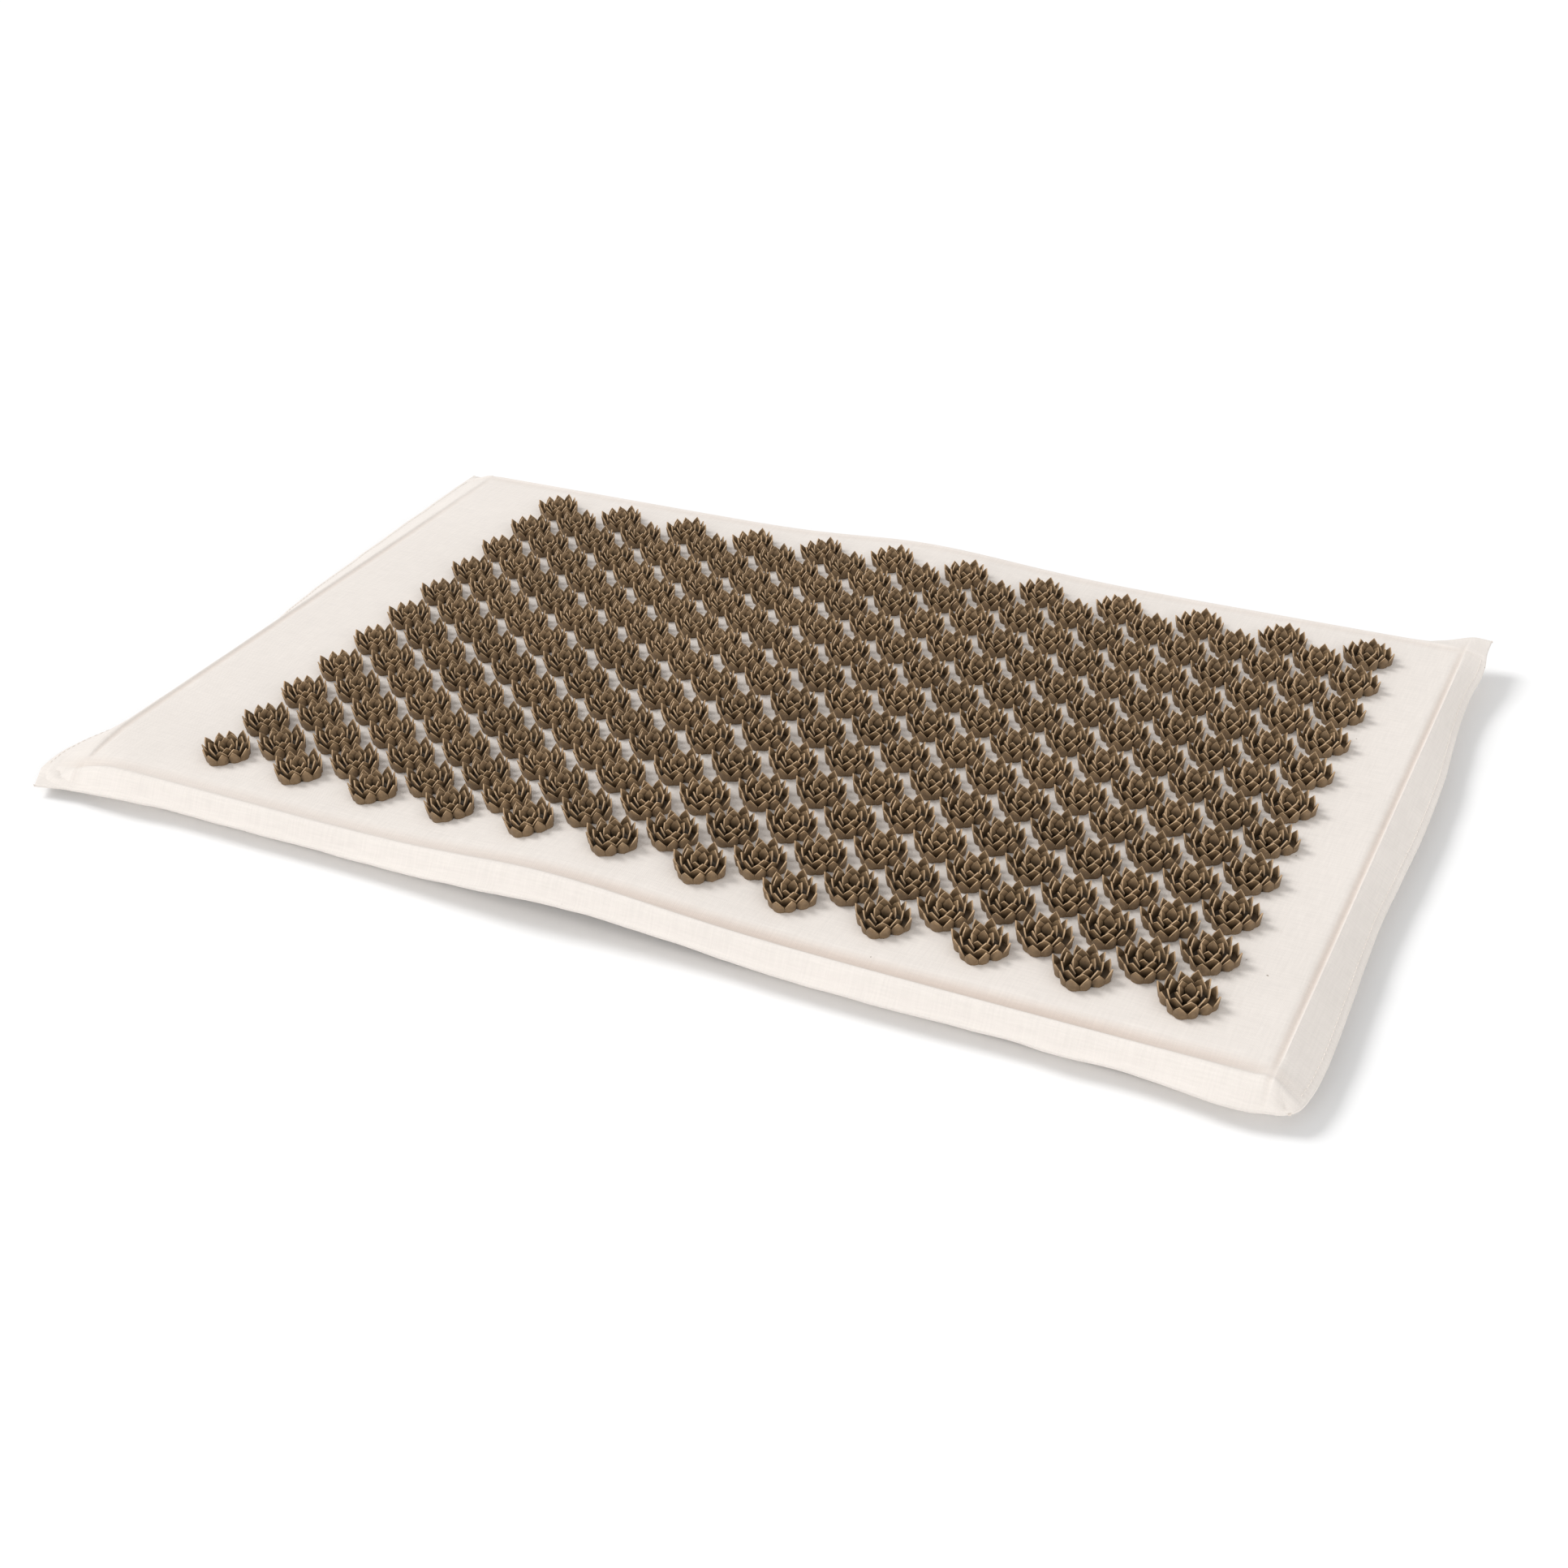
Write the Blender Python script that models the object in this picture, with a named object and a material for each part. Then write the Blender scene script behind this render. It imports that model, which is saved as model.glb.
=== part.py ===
"""Acupressure mat.

A foam slab lies in a cotton cover that opens along its far side with a zip. The top of the cover carries
lotus discs of moulded plastic in two interleaved grids. The discs round the border of the field are pieces of
their own, and those of the near row show every petal. The discs inside the border are bonded to the cloth
all over, so they are crowns that grow out of the top panel.

The origin is the middle of the underside. +X runs along the mat, +Y points to the zip and +Z is up.
Sizes are in metres and angles in radians.
"""

import math
from dataclasses import dataclass

import bmesh
import bpy
from mathutils import Vector
from mathutils.geometry import delaunay_2d_cdt

# Field of lotus discs: the main grid, with a second grid half a pitch off in both directions
COLUMNS = 12
ROWS = 11
PITCH_X = 0.0532
PITCH_Y = 0.0358

# Foam slab, whose margins run from the centres of the outermost discs to its faces
MARGIN_LEFT = 0.0855
MARGIN_RIGHT = 0.0545
MARGIN_NEAR = 0.037
MARGIN_FAR = 0.036
FOAM_THICKNESS = 0.020
FOAM_CORNER = 0.016
FOAM_CHAMFER = 0.003

# Cotton cover: two dished panels, sewn together with a flange on three sides
CLOTH = 0.001
SEAT_GAP = 0.0003
CREASE_REACH = 0.002
CREASE_DROOP = 0.0008
SLOPE_RUN = 0.011
FLANGE = 0.003
DRAW_IN_SIDE = 0.004
DRAW_IN_NEAR = 0.003
CORNER_EAR = 0.009
WAVE_HEIGHT = 0.0014
WAVES_NEAR = 5
WAVES_SIDE = 3
NEAR_STEPS = 18
SIDE_STEPS = 10
CORNER_STEPS = 4

# Zip along the far side, between the two panels
ZIP_LENGTH = 0.560
TAPE_OVERRUN = 0.012
TAPE_THICKNESS = 0.0007
HEM_TAPER = 0.010
HEM_CLEARANCE = 0.0008
COIL_HEIGHT = 0.0019
COIL_DEPTH = 0.0022
COIL_STEPS = 6
STOP_LENGTH = 0.003
STOP_BEVEL = 0.0004
RUN_CLEARANCE = 0.0004

# Slider of the zip, with the arch that holds its pull tab
SLIDER_LENGTH = 0.0115
WING_THICKNESS = 0.001
POST_THICKNESS = 0.0005
POST_LENGTH = 0.0032
POST_INSET = 0.0004
LIP_THICKNESS = 0.0008
NOSE_FLARE = 0.0009
NOSE_LENGTH = 0.0045
ARCH_SPAN = 0.0056
ARCH_TUNNEL = 0.0022
ARCH_WALL = 0.0009
ARCH_WIDTH = 0.0022
PULL_LENGTH = 0.026
PULL_THICKNESS = 0.0012
PULL_TAIL_WIDTH = 0.0070
PULL_EYE_WALL = 0.0012
PULL_BEVEL = 0.0003
PULL_STEPS = 8

# Lotus disc: one moulding of thin upright petals on a plate, with two steps in the outline of its wall
LOTUS_PLATE = 0.001
LOTUS_WALL = 0.0009
TIP_HEIGHT = 0.0078
NOTCH_HEIGHT = 0.0034
AXIS_PETAL_FOOT = 0.0140
AXIS_PETAL_TIP = 0.0157
SIDE_PETAL_FOOT = 0.0121
SIDE_PETAL_TIP = 0.0136
NOTCH_FOOT = 0.0130
NOTCH_RIM = 0.0137
CLEFT_FOOT = 0.0114
CLEFT_RIM = 0.0120
SIDE_PETAL_TURN = math.radians(31)

# Plain crown of a disc inside the field
CROWN_FOOT_AXIS = 0.0138
CROWN_FOOT_DIAGONAL = 0.0110
CROWN_TIP_RADIUS = 0.0150
CROWN_CENTRE_HEIGHT = 0.0056
CROWN_TIPS = 8

# Shared by every cut and joint that has to pass right through
OVERRUN = 0.001

# Worked out from the sizes above
FIELD_LENGTH = (COLUMNS - 1) * PITCH_X
FIELD_WIDTH = (ROWS - 1) * PITCH_Y
FOAM_LENGTH = FIELD_LENGTH + MARGIN_LEFT + MARGIN_RIGHT
FOAM_WIDTH = FIELD_WIDTH + MARGIN_NEAR + MARGIN_FAR
FIRST_X = MARGIN_LEFT - FOAM_LENGTH / 2
FIRST_Y = MARGIN_NEAR - FOAM_WIDTH / 2
FOAM_LOW = CLOTH + SEAT_GAP
FOAM_HIGH = FOAM_LOW + FOAM_THICKNESS
COVER_HEIGHT = FOAM_HIGH + SEAT_GAP + CLOTH
SEAM_HEIGHT = COVER_HEIGHT / 2

# Outward places through the zip, starting at the foam's far face
INNER_WING_Y = FOAM_WIDTH / 2 + RUN_CLEARANCE
TAPE_Y = INNER_WING_Y + WING_THICKNESS + RUN_CLEARANCE
COIL_Y = TAPE_Y + TAPE_THICKNESS + SEAT_GAP
HEM_Y = COIL_Y + CLOTH
WING_Y = COIL_Y + COIL_DEPTH + RUN_CLEARANCE
ARCH_Y = WING_Y + WING_THICKNESS
PULL_AXIS_Y = ARCH_Y + ARCH_TUNNEL / 2
HEM_REACH = HEM_Y - FOAM_WIDTH / 2

# Heights through the zip, counted up and down from its middle
CHAIN_INNER = POST_THICKNESS / 2 + RUN_CLEARANCE
CHAIN_OUTER = CHAIN_INNER + COIL_HEIGHT
TAIL_HALF = CHAIN_OUTER + RUN_CLEARANCE + LIP_THICKNESS
NOSE_HALF = TAIL_HALF + NOSE_FLARE
ZIP_OPENING = 2 * (NOSE_HALF + HEM_CLEARANCE)
TAPE_HALF = COVER_HEIGHT / 2 - FOAM_CHAMFER - CLOTH - SEAT_GAP
SLIDER_X = ZIP_LENGTH / 2 - RUN_CLEARANCE - SLIDER_LENGTH / 2


@dataclass(frozen=True)
class PetalRing:
    """Kite-shaped petals that stand round the middle of a lotus disc, inside its outer wall."""

    first: float
    count: int
    foot_radius: float
    shoulder_radius: float
    tip_radius: float
    shoulder_half: float
    shoulder_height: float


PETAL_RINGS = (
    PetalRing(math.pi / 8, 8, 0.0098, 0.0107, 0.0103, 0.0031, 0.0044),
    PetalRing(math.pi / 4, 4, 0.0052, 0.0059, 0.0063, 0.0028, 0.0043),
    PetalRing(0, 4, 0.0034, 0.0042, 0.0047, 0.0027, 0.0043),
)


@dataclass(frozen=True)
class Side:
    """One side of the cover, between two rounded corners."""

    shares: tuple[float, ...]
    zipped: float
    draw_in: float
    waves: int


@dataclass(frozen=True)
class Station:
    """A place on the foam's outline, and how the cover is cut there."""

    place: Vector
    outward: Vector
    flange: float
    zipped: float
    opening: float
    draw_in: float
    lift: float


def material(name, colour, roughness, metallic=0.0):
    """A Principled material."""
    made = bpy.data.materials.new(name)
    made.use_nodes = True
    shader = made.node_tree.nodes["Principled BSDF"]
    shader.inputs["Base Color"].default_value = (*colour, 1.0)
    shader.inputs["Roughness"].default_value = roughness
    shader.inputs["Metallic"].default_value = metallic
    made.diffuse_color = (*colour, 1.0)
    return made


def mesh_of(bm, name, surface):
    """Turn a bmesh into a mesh whose faces point outwards."""
    bmesh.ops.recalc_face_normals(bm, faces=bm.faces)
    mesh = bpy.data.meshes.new(name)
    bm.to_mesh(mesh)
    bm.free()
    mesh.materials.append(surface)
    return mesh


def place(name, mesh, location=(0, 0, 0), parent=None):
    """Put a mesh in the scene as a named piece."""
    obj = bpy.data.objects.new(name, mesh)
    bpy.context.scene.collection.objects.link(obj)
    obj.location = location
    obj.parent = parent
    return obj


def helper(name, mesh, location=(0, 0, 0), parent=None):
    """A shape that only cuts or joins another one."""
    obj = place(name, mesh, location, parent)
    obj.hide_render = True
    obj.display_type = "WIRE"
    return obj


def combine(body, other, operation):
    """Join another shape to a body, or cut it out."""
    step = body.modifiers.new(other.name, "BOOLEAN")
    step.operation = operation
    step.solver = "EXACT"
    step.object = other


def bevel(obj, width, segments=2):
    """Round the edges of a piece."""
    step = obj.modifiers.new("rounded_edges", "BEVEL")
    step.width = width
    step.segments = segments
    step.limit_method = "ANGLE"


def prism(outline, low, high, axis, name, surface):
    """Extrude a flat outline along an axis. Its points give the other two axes, in X, Y, Z order."""

    def corner(point, depth):
        spot = list(point)
        spot.insert("xyz".index(axis), depth)
        return spot

    bm = bmesh.new()
    ends = [[bm.verts.new(corner(point, depth)) for point in outline] for depth in (low, high)]
    bm.faces.new(ends[0])
    bm.faces.new(reversed(ends[1]))
    for i in range(len(outline)):
        j = (i + 1) % len(outline)
        bm.faces.new((ends[0][i], ends[0][j], ends[1][j], ends[1][i]))
    return mesh_of(bm, name, surface)


def rectangle(low_a, high_a, low_b, high_b):
    """The corners of a rectangle, in order."""
    return [(low_a, low_b), (high_a, low_b), (high_a, high_b), (low_a, high_b)]


def even_shares(steps):
    """The shares of a side at which it is cut, leaving out its ends."""
    return tuple(step / steps for step in range(1, steps))


def zip_shares(straight):
    """Shares of the far side where its hems part, counted from its right end."""
    shut = ZIP_LENGTH / 2 + TAPE_OVERRUN
    places = (shut, shut - HEM_TAPER, 0, HEM_TAPER - shut, -shut)
    return tuple((straight - x) / (2 * straight) for x in places)


def between(first, last, share):
    """A value that share of the way from first to last."""
    return first + (last - first) * share


def side_station(start, end, outward, side, share):
    """A station along a straight side."""
    spot = start.lerp(end, share)
    parted = side.zipped and abs(spot.x) < ZIP_LENGTH / 2 + TAPE_OVERRUN - HEM_TAPER / 2
    return Station(
        place=spot + outward * FOAM_CORNER,
        outward=outward,
        flange=FLANGE,
        zipped=side.zipped,
        opening=ZIP_OPENING if parted else SEAT_GAP,
        draw_in=side.draw_in * math.sin(math.pi * share),
        lift=WAVE_HEIGHT * math.sin(math.pi * side.waves * share) * (1 - side.zipped),
    )


def outline():
    """Stations round the foam, counter-clockwise from the near left corner."""
    straight_x = FOAM_LENGTH / 2 - FOAM_CORNER
    straight_y = FOAM_WIDTH / 2 - FOAM_CORNER
    near = Side(even_shares(NEAR_STEPS), 0, DRAW_IN_NEAR, WAVES_NEAR)
    right = Side(even_shares(SIDE_STEPS), 0, DRAW_IN_SIDE, WAVES_SIDE)
    far = Side(zip_shares(straight_x), 1, 0, 0)
    left = right
    sides = (near, right, far, left)
    corners = [
        Vector((-straight_x, -straight_y)),
        Vector((straight_x, -straight_y)),
        Vector((straight_x, straight_y)),
        Vector((-straight_x, straight_y)),
    ]
    stations = []
    for index, side in enumerate(sides):
        angle = (index - 1) * math.pi / 2
        outward = Vector((math.cos(angle), math.sin(angle)))
        start, end = corners[index], corners[(index + 1) % 4]
        following = sides[(index + 1) % 4]
        stations += [side_station(start, end, outward, side, share) for share in side.shares]
        for step in range(CORNER_STEPS + 1):
            share = step / CORNER_STEPS
            turned = angle + share * math.pi / 2
            outward = Vector((math.cos(turned), math.sin(turned)))
            ear = CORNER_EAR * math.sin(math.pi * share)
            stations.append(
                Station(
                    place=end + outward * FOAM_CORNER,
                    outward=outward,
                    flange=FLANGE + ear,
                    zipped=between(side.zipped, following.zipped, share),
                    opening=SEAT_GAP,
                    draw_in=0,
                    lift=0,
                )
            )
    return stations


def panel_section(station):
    """The cut through a panel at a station: how far each point reaches out, how far it stands from the seam's
    height, and whether it follows the wave of the rim. The outer face comes first, from the field to the rim,
    and then the inner face, back to the field."""
    half = COVER_HEIGHT / 2
    seam = SEAT_GAP / 2
    slope_end = SLOPE_RUN - station.draw_in
    rim = slope_end + station.flange
    sewn = (
        (-FOAM_CHAMFER, half, 0),
        (CREASE_REACH, half - CREASE_DROOP, 0),
        (slope_end, seam + CLOTH, 1),
        (rim, seam + CLOTH, 1),
        (rim, seam, 1),
        (slope_end - CLOTH, seam, 1),
        (CREASE_REACH - CLOTH, half - CREASE_DROOP - CLOTH, 0),
        (-FOAM_CHAMFER, half - CLOTH, 0),
    )
    hem = station.opening / 2
    zipped = (
        (-FOAM_CHAMFER, half, 0),
        (HEM_REACH - FOAM_CHAMFER, half, 0),
        (HEM_REACH, half - FOAM_CHAMFER, 0),
        (HEM_REACH, hem, 0),
        (HEM_REACH - CLOTH, hem, 0),
        (HEM_REACH - CLOTH, half - FOAM_CHAMFER - CLOTH, 0),
        (HEM_REACH - FOAM_CHAMFER - CLOTH, half - CLOTH, 0),
        (-FOAM_CHAMFER, half - CLOTH, 0),
    )
    return [
        tuple(between(sewn_value, zipped_value, station.zipped) for sewn_value, zipped_value in zip(a, b))
        for a, b in zip(sewn, zipped)
    ]


def panel_rim(bm, side):
    """Skin the border of a panel, with side 1 for the upper and -1 for the lower one. Returns the rings of
    points where its outer and its inner face go on as flat cloth."""
    rings = []
    for station in outline():
        ring = []
        for reach, rise, waved in panel_section(station):
            spot = station.place + station.outward * reach
            height = SEAM_HEIGHT + side * rise + waved * station.lift
            ring.append(bm.verts.new((spot.x, spot.y, height)))
        rings.append(ring)
    for i, ring in enumerate(rings):
        following = rings[(i + 1) % len(rings)]
        for k in range(len(ring) - 1):
            bm.faces.new((ring[k], ring[k + 1], following[k + 1], following[k]))
    return [ring[0] for ring in rings], [ring[-1] for ring in rings]


def field_places():
    """Column, row and place of every disc of the main grid, then of the grid between."""
    main = [
        (column, row, FIRST_X + column * PITCH_X, FIRST_Y + row * PITCH_Y)
        for row in range(ROWS)
        for column in range(COLUMNS)
    ]
    second = [
        (None, None, FIRST_X + (column + 1 / 2) * PITCH_X, FIRST_Y + (row + 1 / 2) * PITCH_Y)
        for row in range(ROWS - 1)
        for column in range(COLUMNS - 1)
    ]
    return main + second


def border_name(column, row):
    """The name of a disc on the border of the main grid, or None for one inside it."""
    if row == 0:
        return f"lotus_near_{column + 1:02d}"
    if row == ROWS - 1:
        return f"lotus_far_{column + 1:02d}"
    if column == 0:
        return f"lotus_left_{row + 1:02d}"
    if column == COLUMNS - 1:
        return f"lotus_right_{row + 1:02d}"
    return None


def crown_foot(x, y):
    """Corners of a crown's foot, which reaches furthest along the two grid directions."""
    corners = []
    for index in range(CROWN_TIPS):
        turn = 2 * math.pi * index / CROWN_TIPS
        radius = CROWN_FOOT_DIAGONAL if index % 2 else CROWN_FOOT_AXIS
        corners.append((x + radius * math.cos(turn), y + radius * math.sin(turn)))
    return corners


def grow_crown(bm, foot, x, y, height):
    """Raise a ring of pointed petals with a hollow top on a foot whose points stand at a height."""
    centre = bm.verts.new((x, y, height + CROWN_CENTRE_HEIGHT))
    for index, corner in enumerate(foot):
        turn = 2 * math.pi * (index + 1 / 2) / CROWN_TIPS
        tip = bm.verts.new(
            (
                x + CROWN_TIP_RADIUS * math.cos(turn),
                y + CROWN_TIP_RADIUS * math.sin(turn),
                height + TIP_HEIGHT,
            )
        )
        following = foot[(index + 1) % CROWN_TIPS]
        bm.faces.new((corner, following, tip))
        bm.faces.new((corner, tip, centre))
        bm.faces.new((tip, following, centre))


def upper_cloth(bm, ring):
    """Fill the top of the upper panel round the crowns that stand on it."""
    height = COVER_HEIGHT
    points = [Vector((vert.co.x, vert.co.y)) for vert in ring]
    verts = list(ring)
    owner = [None] * len(ring)
    edges = []
    crowns = []
    for column, row, x, y in field_places():
        if column is not None and border_name(column, row):
            continue
        start = len(points)
        corners = crown_foot(x, y)
        points += [Vector(corner) for corner in corners]
        foot = [bm.verts.new((*corner, height)) for corner in corners]
        verts += foot
        owner += [len(crowns)] * CROWN_TIPS
        edges += [(start + i, start + (i + 1) % CROWN_TIPS) for i in range(CROWN_TIPS)]
        crowns.append((foot, x, y))
    inside_only = 1
    cloth = delaunay_2d_cdt(points, edges, [list(range(len(ring)))], inside_only, CLOTH / 1000)
    source = [found[0] for found in cloth[3]]
    for face in cloth[2]:
        corners = [source[index] for index in face]
        owners = {owner[index] for index in corners}
        if len(owners) == 1 and None not in owners:
            continue
        bm.faces.new([verts[index] for index in corners])
    for foot, x, y in crowns:
        grow_crown(bm, foot, x, y, height)


def upper_panel(surface):
    """The top of the cover, with the crowns of the discs that are bonded to it."""
    bm = bmesh.new()
    outer, inner = panel_rim(bm, 1)
    upper_cloth(bm, outer)
    bm.faces.new(inner)
    return mesh_of(bm, "cover_top_panel", surface)


def lower_panel(surface):
    """The underside of the cover, flat where it lies on the floor."""
    bm = bmesh.new()
    outer, inner = panel_rim(bm, -1)
    bm.faces.new(outer)
    bm.faces.new(inner)
    return mesh_of(bm, "cover_bottom_panel", surface)


def foam_slab(surface):
    """The foam core, with its long edges chamfered."""
    cuts = (
        (-FOAM_CHAMFER, FOAM_LOW),
        (0, FOAM_LOW + FOAM_CHAMFER),
        (0, FOAM_HIGH - FOAM_CHAMFER),
        (-FOAM_CHAMFER, FOAM_HIGH),
    )
    bm = bmesh.new()
    stations = outline()
    rings = []
    for reach, height in cuts:
        spots = [station.place + station.outward * reach for station in stations]
        rings.append([bm.verts.new((spot.x, spot.y, height)) for spot in spots])
    bm.faces.new(rings[0])
    bm.faces.new(rings[-1])
    for low, high in zip(rings, rings[1:]):
        for i in range(len(low)):
            j = (i + 1) % len(low)
            bm.faces.new((low[i], low[j], high[j], high[i]))
    return mesh_of(bm, "foam_core", surface)


def plain_lotus(surface):
    """A border disc with its foot plate and the outline of its petals."""
    bm = bmesh.new()
    corners = crown_foot(0, 0)
    low = [bm.verts.new((*corner, 0)) for corner in corners]
    foot = [bm.verts.new((*corner, LOTUS_PLATE)) for corner in corners]
    bm.faces.new(low)
    for i in range(CROWN_TIPS):
        j = (i + 1) % CROWN_TIPS
        bm.faces.new((low[i], low[j], foot[j], foot[i]))
    grow_crown(bm, foot, 0, 0, 0)
    return mesh_of(bm, "plain_lotus", surface)


def wall_columns():
    """Turn, radius at the foot, radius at the rim and height of every tip and notch round the outer wall."""
    quarter = math.pi / 2
    columns = []
    for start in (step * quarter for step in range(4)):
        columns += [
            (start, AXIS_PETAL_FOOT, AXIS_PETAL_TIP, TIP_HEIGHT),
            (start + SIDE_PETAL_TURN / 2, NOTCH_FOOT, NOTCH_RIM, NOTCH_HEIGHT),
            (start + SIDE_PETAL_TURN, SIDE_PETAL_FOOT, SIDE_PETAL_TIP, TIP_HEIGHT),
            (start + quarter / 2, CLEFT_FOOT, CLEFT_RIM, NOTCH_HEIGHT),
            (start + quarter - SIDE_PETAL_TURN, SIDE_PETAL_FOOT, SIDE_PETAL_TIP, TIP_HEIGHT),
            (start + quarter - SIDE_PETAL_TURN / 2, NOTCH_FOOT, NOTCH_RIM, NOTCH_HEIGHT),
        ]
    return columns


def outer_wall(surface):
    """The plate of a lotus disc, and the wall round it that rises to twelve pointed petals."""
    bm = bmesh.new()
    rings = []
    for turn, foot, rim, height in wall_columns():
        floor = between(foot, rim, LOTUS_PLATE / height) - LOTUS_WALL
        spots = ((foot, 0), (rim, height), (rim - LOTUS_WALL, height), (floor, LOTUS_PLATE))
        rings.append([bm.verts.new((r * math.cos(turn), r * math.sin(turn), z)) for r, z in spots])
    for i, ring in enumerate(rings):
        following = rings[(i + 1) % len(rings)]
        for k in range(len(ring) - 1):
            bm.faces.new((ring[k], following[k], following[k + 1], ring[k + 1]))
    bm.faces.new([ring[0] for ring in rings])
    bm.faces.new([ring[-1] for ring in rings])
    return mesh_of(bm, "outer_wall", surface)


def inner_petals(ring, name, surface):
    """The petals of a ring, each a kite as thick as the wall that stands on its narrow end in the plate."""
    bm = bmesh.new()
    for index in range(ring.count):
        turn = ring.first + 2 * math.pi * index / ring.count
        outward = Vector((math.cos(turn), math.sin(turn), 0))
        across = Vector((-math.sin(turn), math.cos(turn), 0)) * ring.shoulder_half
        shoulder = outward * ring.shoulder_radius + Vector((0, 0, ring.shoulder_height))
        kite = (
            outward * ring.foot_radius + Vector((0, 0, LOTUS_PLATE / 2)),
            shoulder + across,
            outward * ring.tip_radius + Vector((0, 0, TIP_HEIGHT)),
            shoulder - across,
        )
        front, back = (
            [bm.verts.new(spot - outward * inset) for spot in kite] for inset in (0, LOTUS_WALL)
        )
        for side in (front, back):
            bm.faces.new((side[0], side[1], side[3]))
            bm.faces.new((side[1], side[2], side[3]))
        for i in range(len(kite)):
            j = (i + 1) % len(kite)
            bm.faces.new((front[i], front[j], back[j], back[i]))
    return mesh_of(bm, name, surface)


def full_lotus(surface):
    """A disc with all its petals, as one moulding."""
    disc = helper("lotus_wall", outer_wall(surface))
    shapes = [disc]
    for index, ring in enumerate(PETAL_RINGS):
        name = f"petal_ring_{index + 1}"
        shape = helper(name, inner_petals(ring, name, surface))
        combine(disc, shape, "UNION")
        shapes.append(shape)
    bpy.context.view_layer.update()
    graph = bpy.context.evaluated_depsgraph_get()
    mesh = bpy.data.meshes.new_from_object(disc.evaluated_get(graph), depsgraph=graph)
    mesh.name = "full_lotus"
    for shape in shapes:
        bpy.data.objects.remove(shape)
    return mesh


def border_discs(surface, parent):
    """The discs round the border of the main grid, with every petal along the near row."""
    full, plain = full_lotus(surface), plain_lotus(surface)
    for column, row, x, y in field_places():
        name = None if column is None else border_name(column, row)
        if name:
            place(name, full if row == 0 else plain, (x, y, COVER_HEIGHT + SEAT_GAP), parent)


def zip_tape(side, surface):
    """The tape of one half of the zip, behind the hem of its panel."""
    half = ZIP_LENGTH / 2 + TAPE_OVERRUN
    heights = sorted((side * CHAIN_INNER, side * TAPE_HALF))
    return prism(rectangle(-half, half, *heights), TAPE_Y, TAPE_Y + TAPE_THICKNESS, "y", "zip_tape", surface)


def zip_coil(side, surface):
    """The closed coil of one half of the zip, flat where it is sewn to its tape."""
    middle = side * (CHAIN_INNER + CHAIN_OUTER) / 2
    spots = []
    for step in range(COIL_STEPS + 1):
        turn = math.pi * step / COIL_STEPS
        spots.append((COIL_Y + COIL_DEPTH * math.sin(turn), middle + COIL_HEIGHT / 2 * math.cos(turn)))
    return prism(spots, -ZIP_LENGTH / 2, ZIP_LENGTH / 2, "x", "zip_coil", surface)


def zip_stop(surface):
    """A metal clip across both halves of the zip."""
    corners = rectangle(-STOP_LENGTH / 2, STOP_LENGTH / 2, -CHAIN_OUTER, CHAIN_OUTER)
    return prism(corners, COIL_Y, COIL_Y + COIL_DEPTH, "y", "zip_stop", surface)


def wing_outline():
    """The slider seen from outside: narrow behind, and flared at the nose where the halves come in."""
    back, front = -SLIDER_LENGTH / 2, SLIDER_LENGTH / 2
    waist = front - NOSE_LENGTH
    return [
        (back, -TAIL_HALF),
        (waist, -TAIL_HALF),
        (front, -NOSE_HALF),
        (front, NOSE_HALF),
        (waist, TAIL_HALF),
        (back, TAIL_HALF),
    ]


def lip_outline(side):
    """The rim along one edge of the slider's outer wing."""
    edge = [spot for spot in wing_outline() if spot[1] * side > 0]
    inner = [(x, z - side * LIP_THICKNESS) for x, z in reversed(edge)]
    return edge + inner


def arch_outline():
    """The arch over the slider, seen from above, as a bent bar whose feet stand in the wing."""
    outer, inner = ARCH_SPAN / 2, ARCH_SPAN / 2 - ARCH_WALL
    foot = WING_THICKNESS / 2
    return [
        (-outer, -foot),
        (-inner, -foot),
        (-inner, ARCH_TUNNEL - ARCH_WALL / 2),
        (-inner + ARCH_WALL / 2, ARCH_TUNNEL),
        (inner - ARCH_WALL / 2, ARCH_TUNNEL),
        (inner, ARCH_TUNNEL - ARCH_WALL / 2),
        (inner, -foot),
        (outer, -foot),
        (outer, ARCH_TUNNEL),
        (inner, ARCH_TUNNEL + ARCH_WALL),
        (-inner, ARCH_TUNNEL + ARCH_WALL),
        (-outer, ARCH_TUNNEL),
    ]


def zip_slider(surface, parent):
    """The slider: an inner and an outer wing on a thin post, rims that hold the coils, and the arch."""
    centre = (SLIDER_X, ARCH_Y, SEAM_HEIGHT)
    wing = prism(wing_outline(), -WING_THICKNESS, 0, "y", "zip_slider", surface)
    slider = place("zip_slider", wing, centre, parent)
    inner_y = INNER_WING_Y - ARCH_Y
    post_front = SLIDER_LENGTH / 2 - POST_INSET
    shapes = {
        "inner_wing": prism(wing_outline(), inner_y, inner_y + WING_THICKNESS, "y", "inner_wing", surface),
        "post": prism(
            rectangle(post_front - POST_LENGTH, post_front, -POST_THICKNESS / 2, POST_THICKNESS / 2),
            inner_y + WING_THICKNESS / 2,
            -WING_THICKNESS / 2,
            "y",
            "post",
            surface,
        ),
        "arch": prism(arch_outline(), -ARCH_WIDTH / 2, ARCH_WIDTH / 2, "z", "arch", surface),
    }
    lip_y = TAPE_Y + TAPE_THICKNESS + RUN_CLEARANCE - ARCH_Y
    for name, side in (("upper_lip", 1), ("lower_lip", -1)):
        shapes[name] = prism(lip_outline(side), lip_y, -WING_THICKNESS / 2, "y", name, surface)
    for name, mesh in shapes.items():
        combine(slider, helper(name, mesh, centre, parent), "UNION")
    return slider


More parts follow.
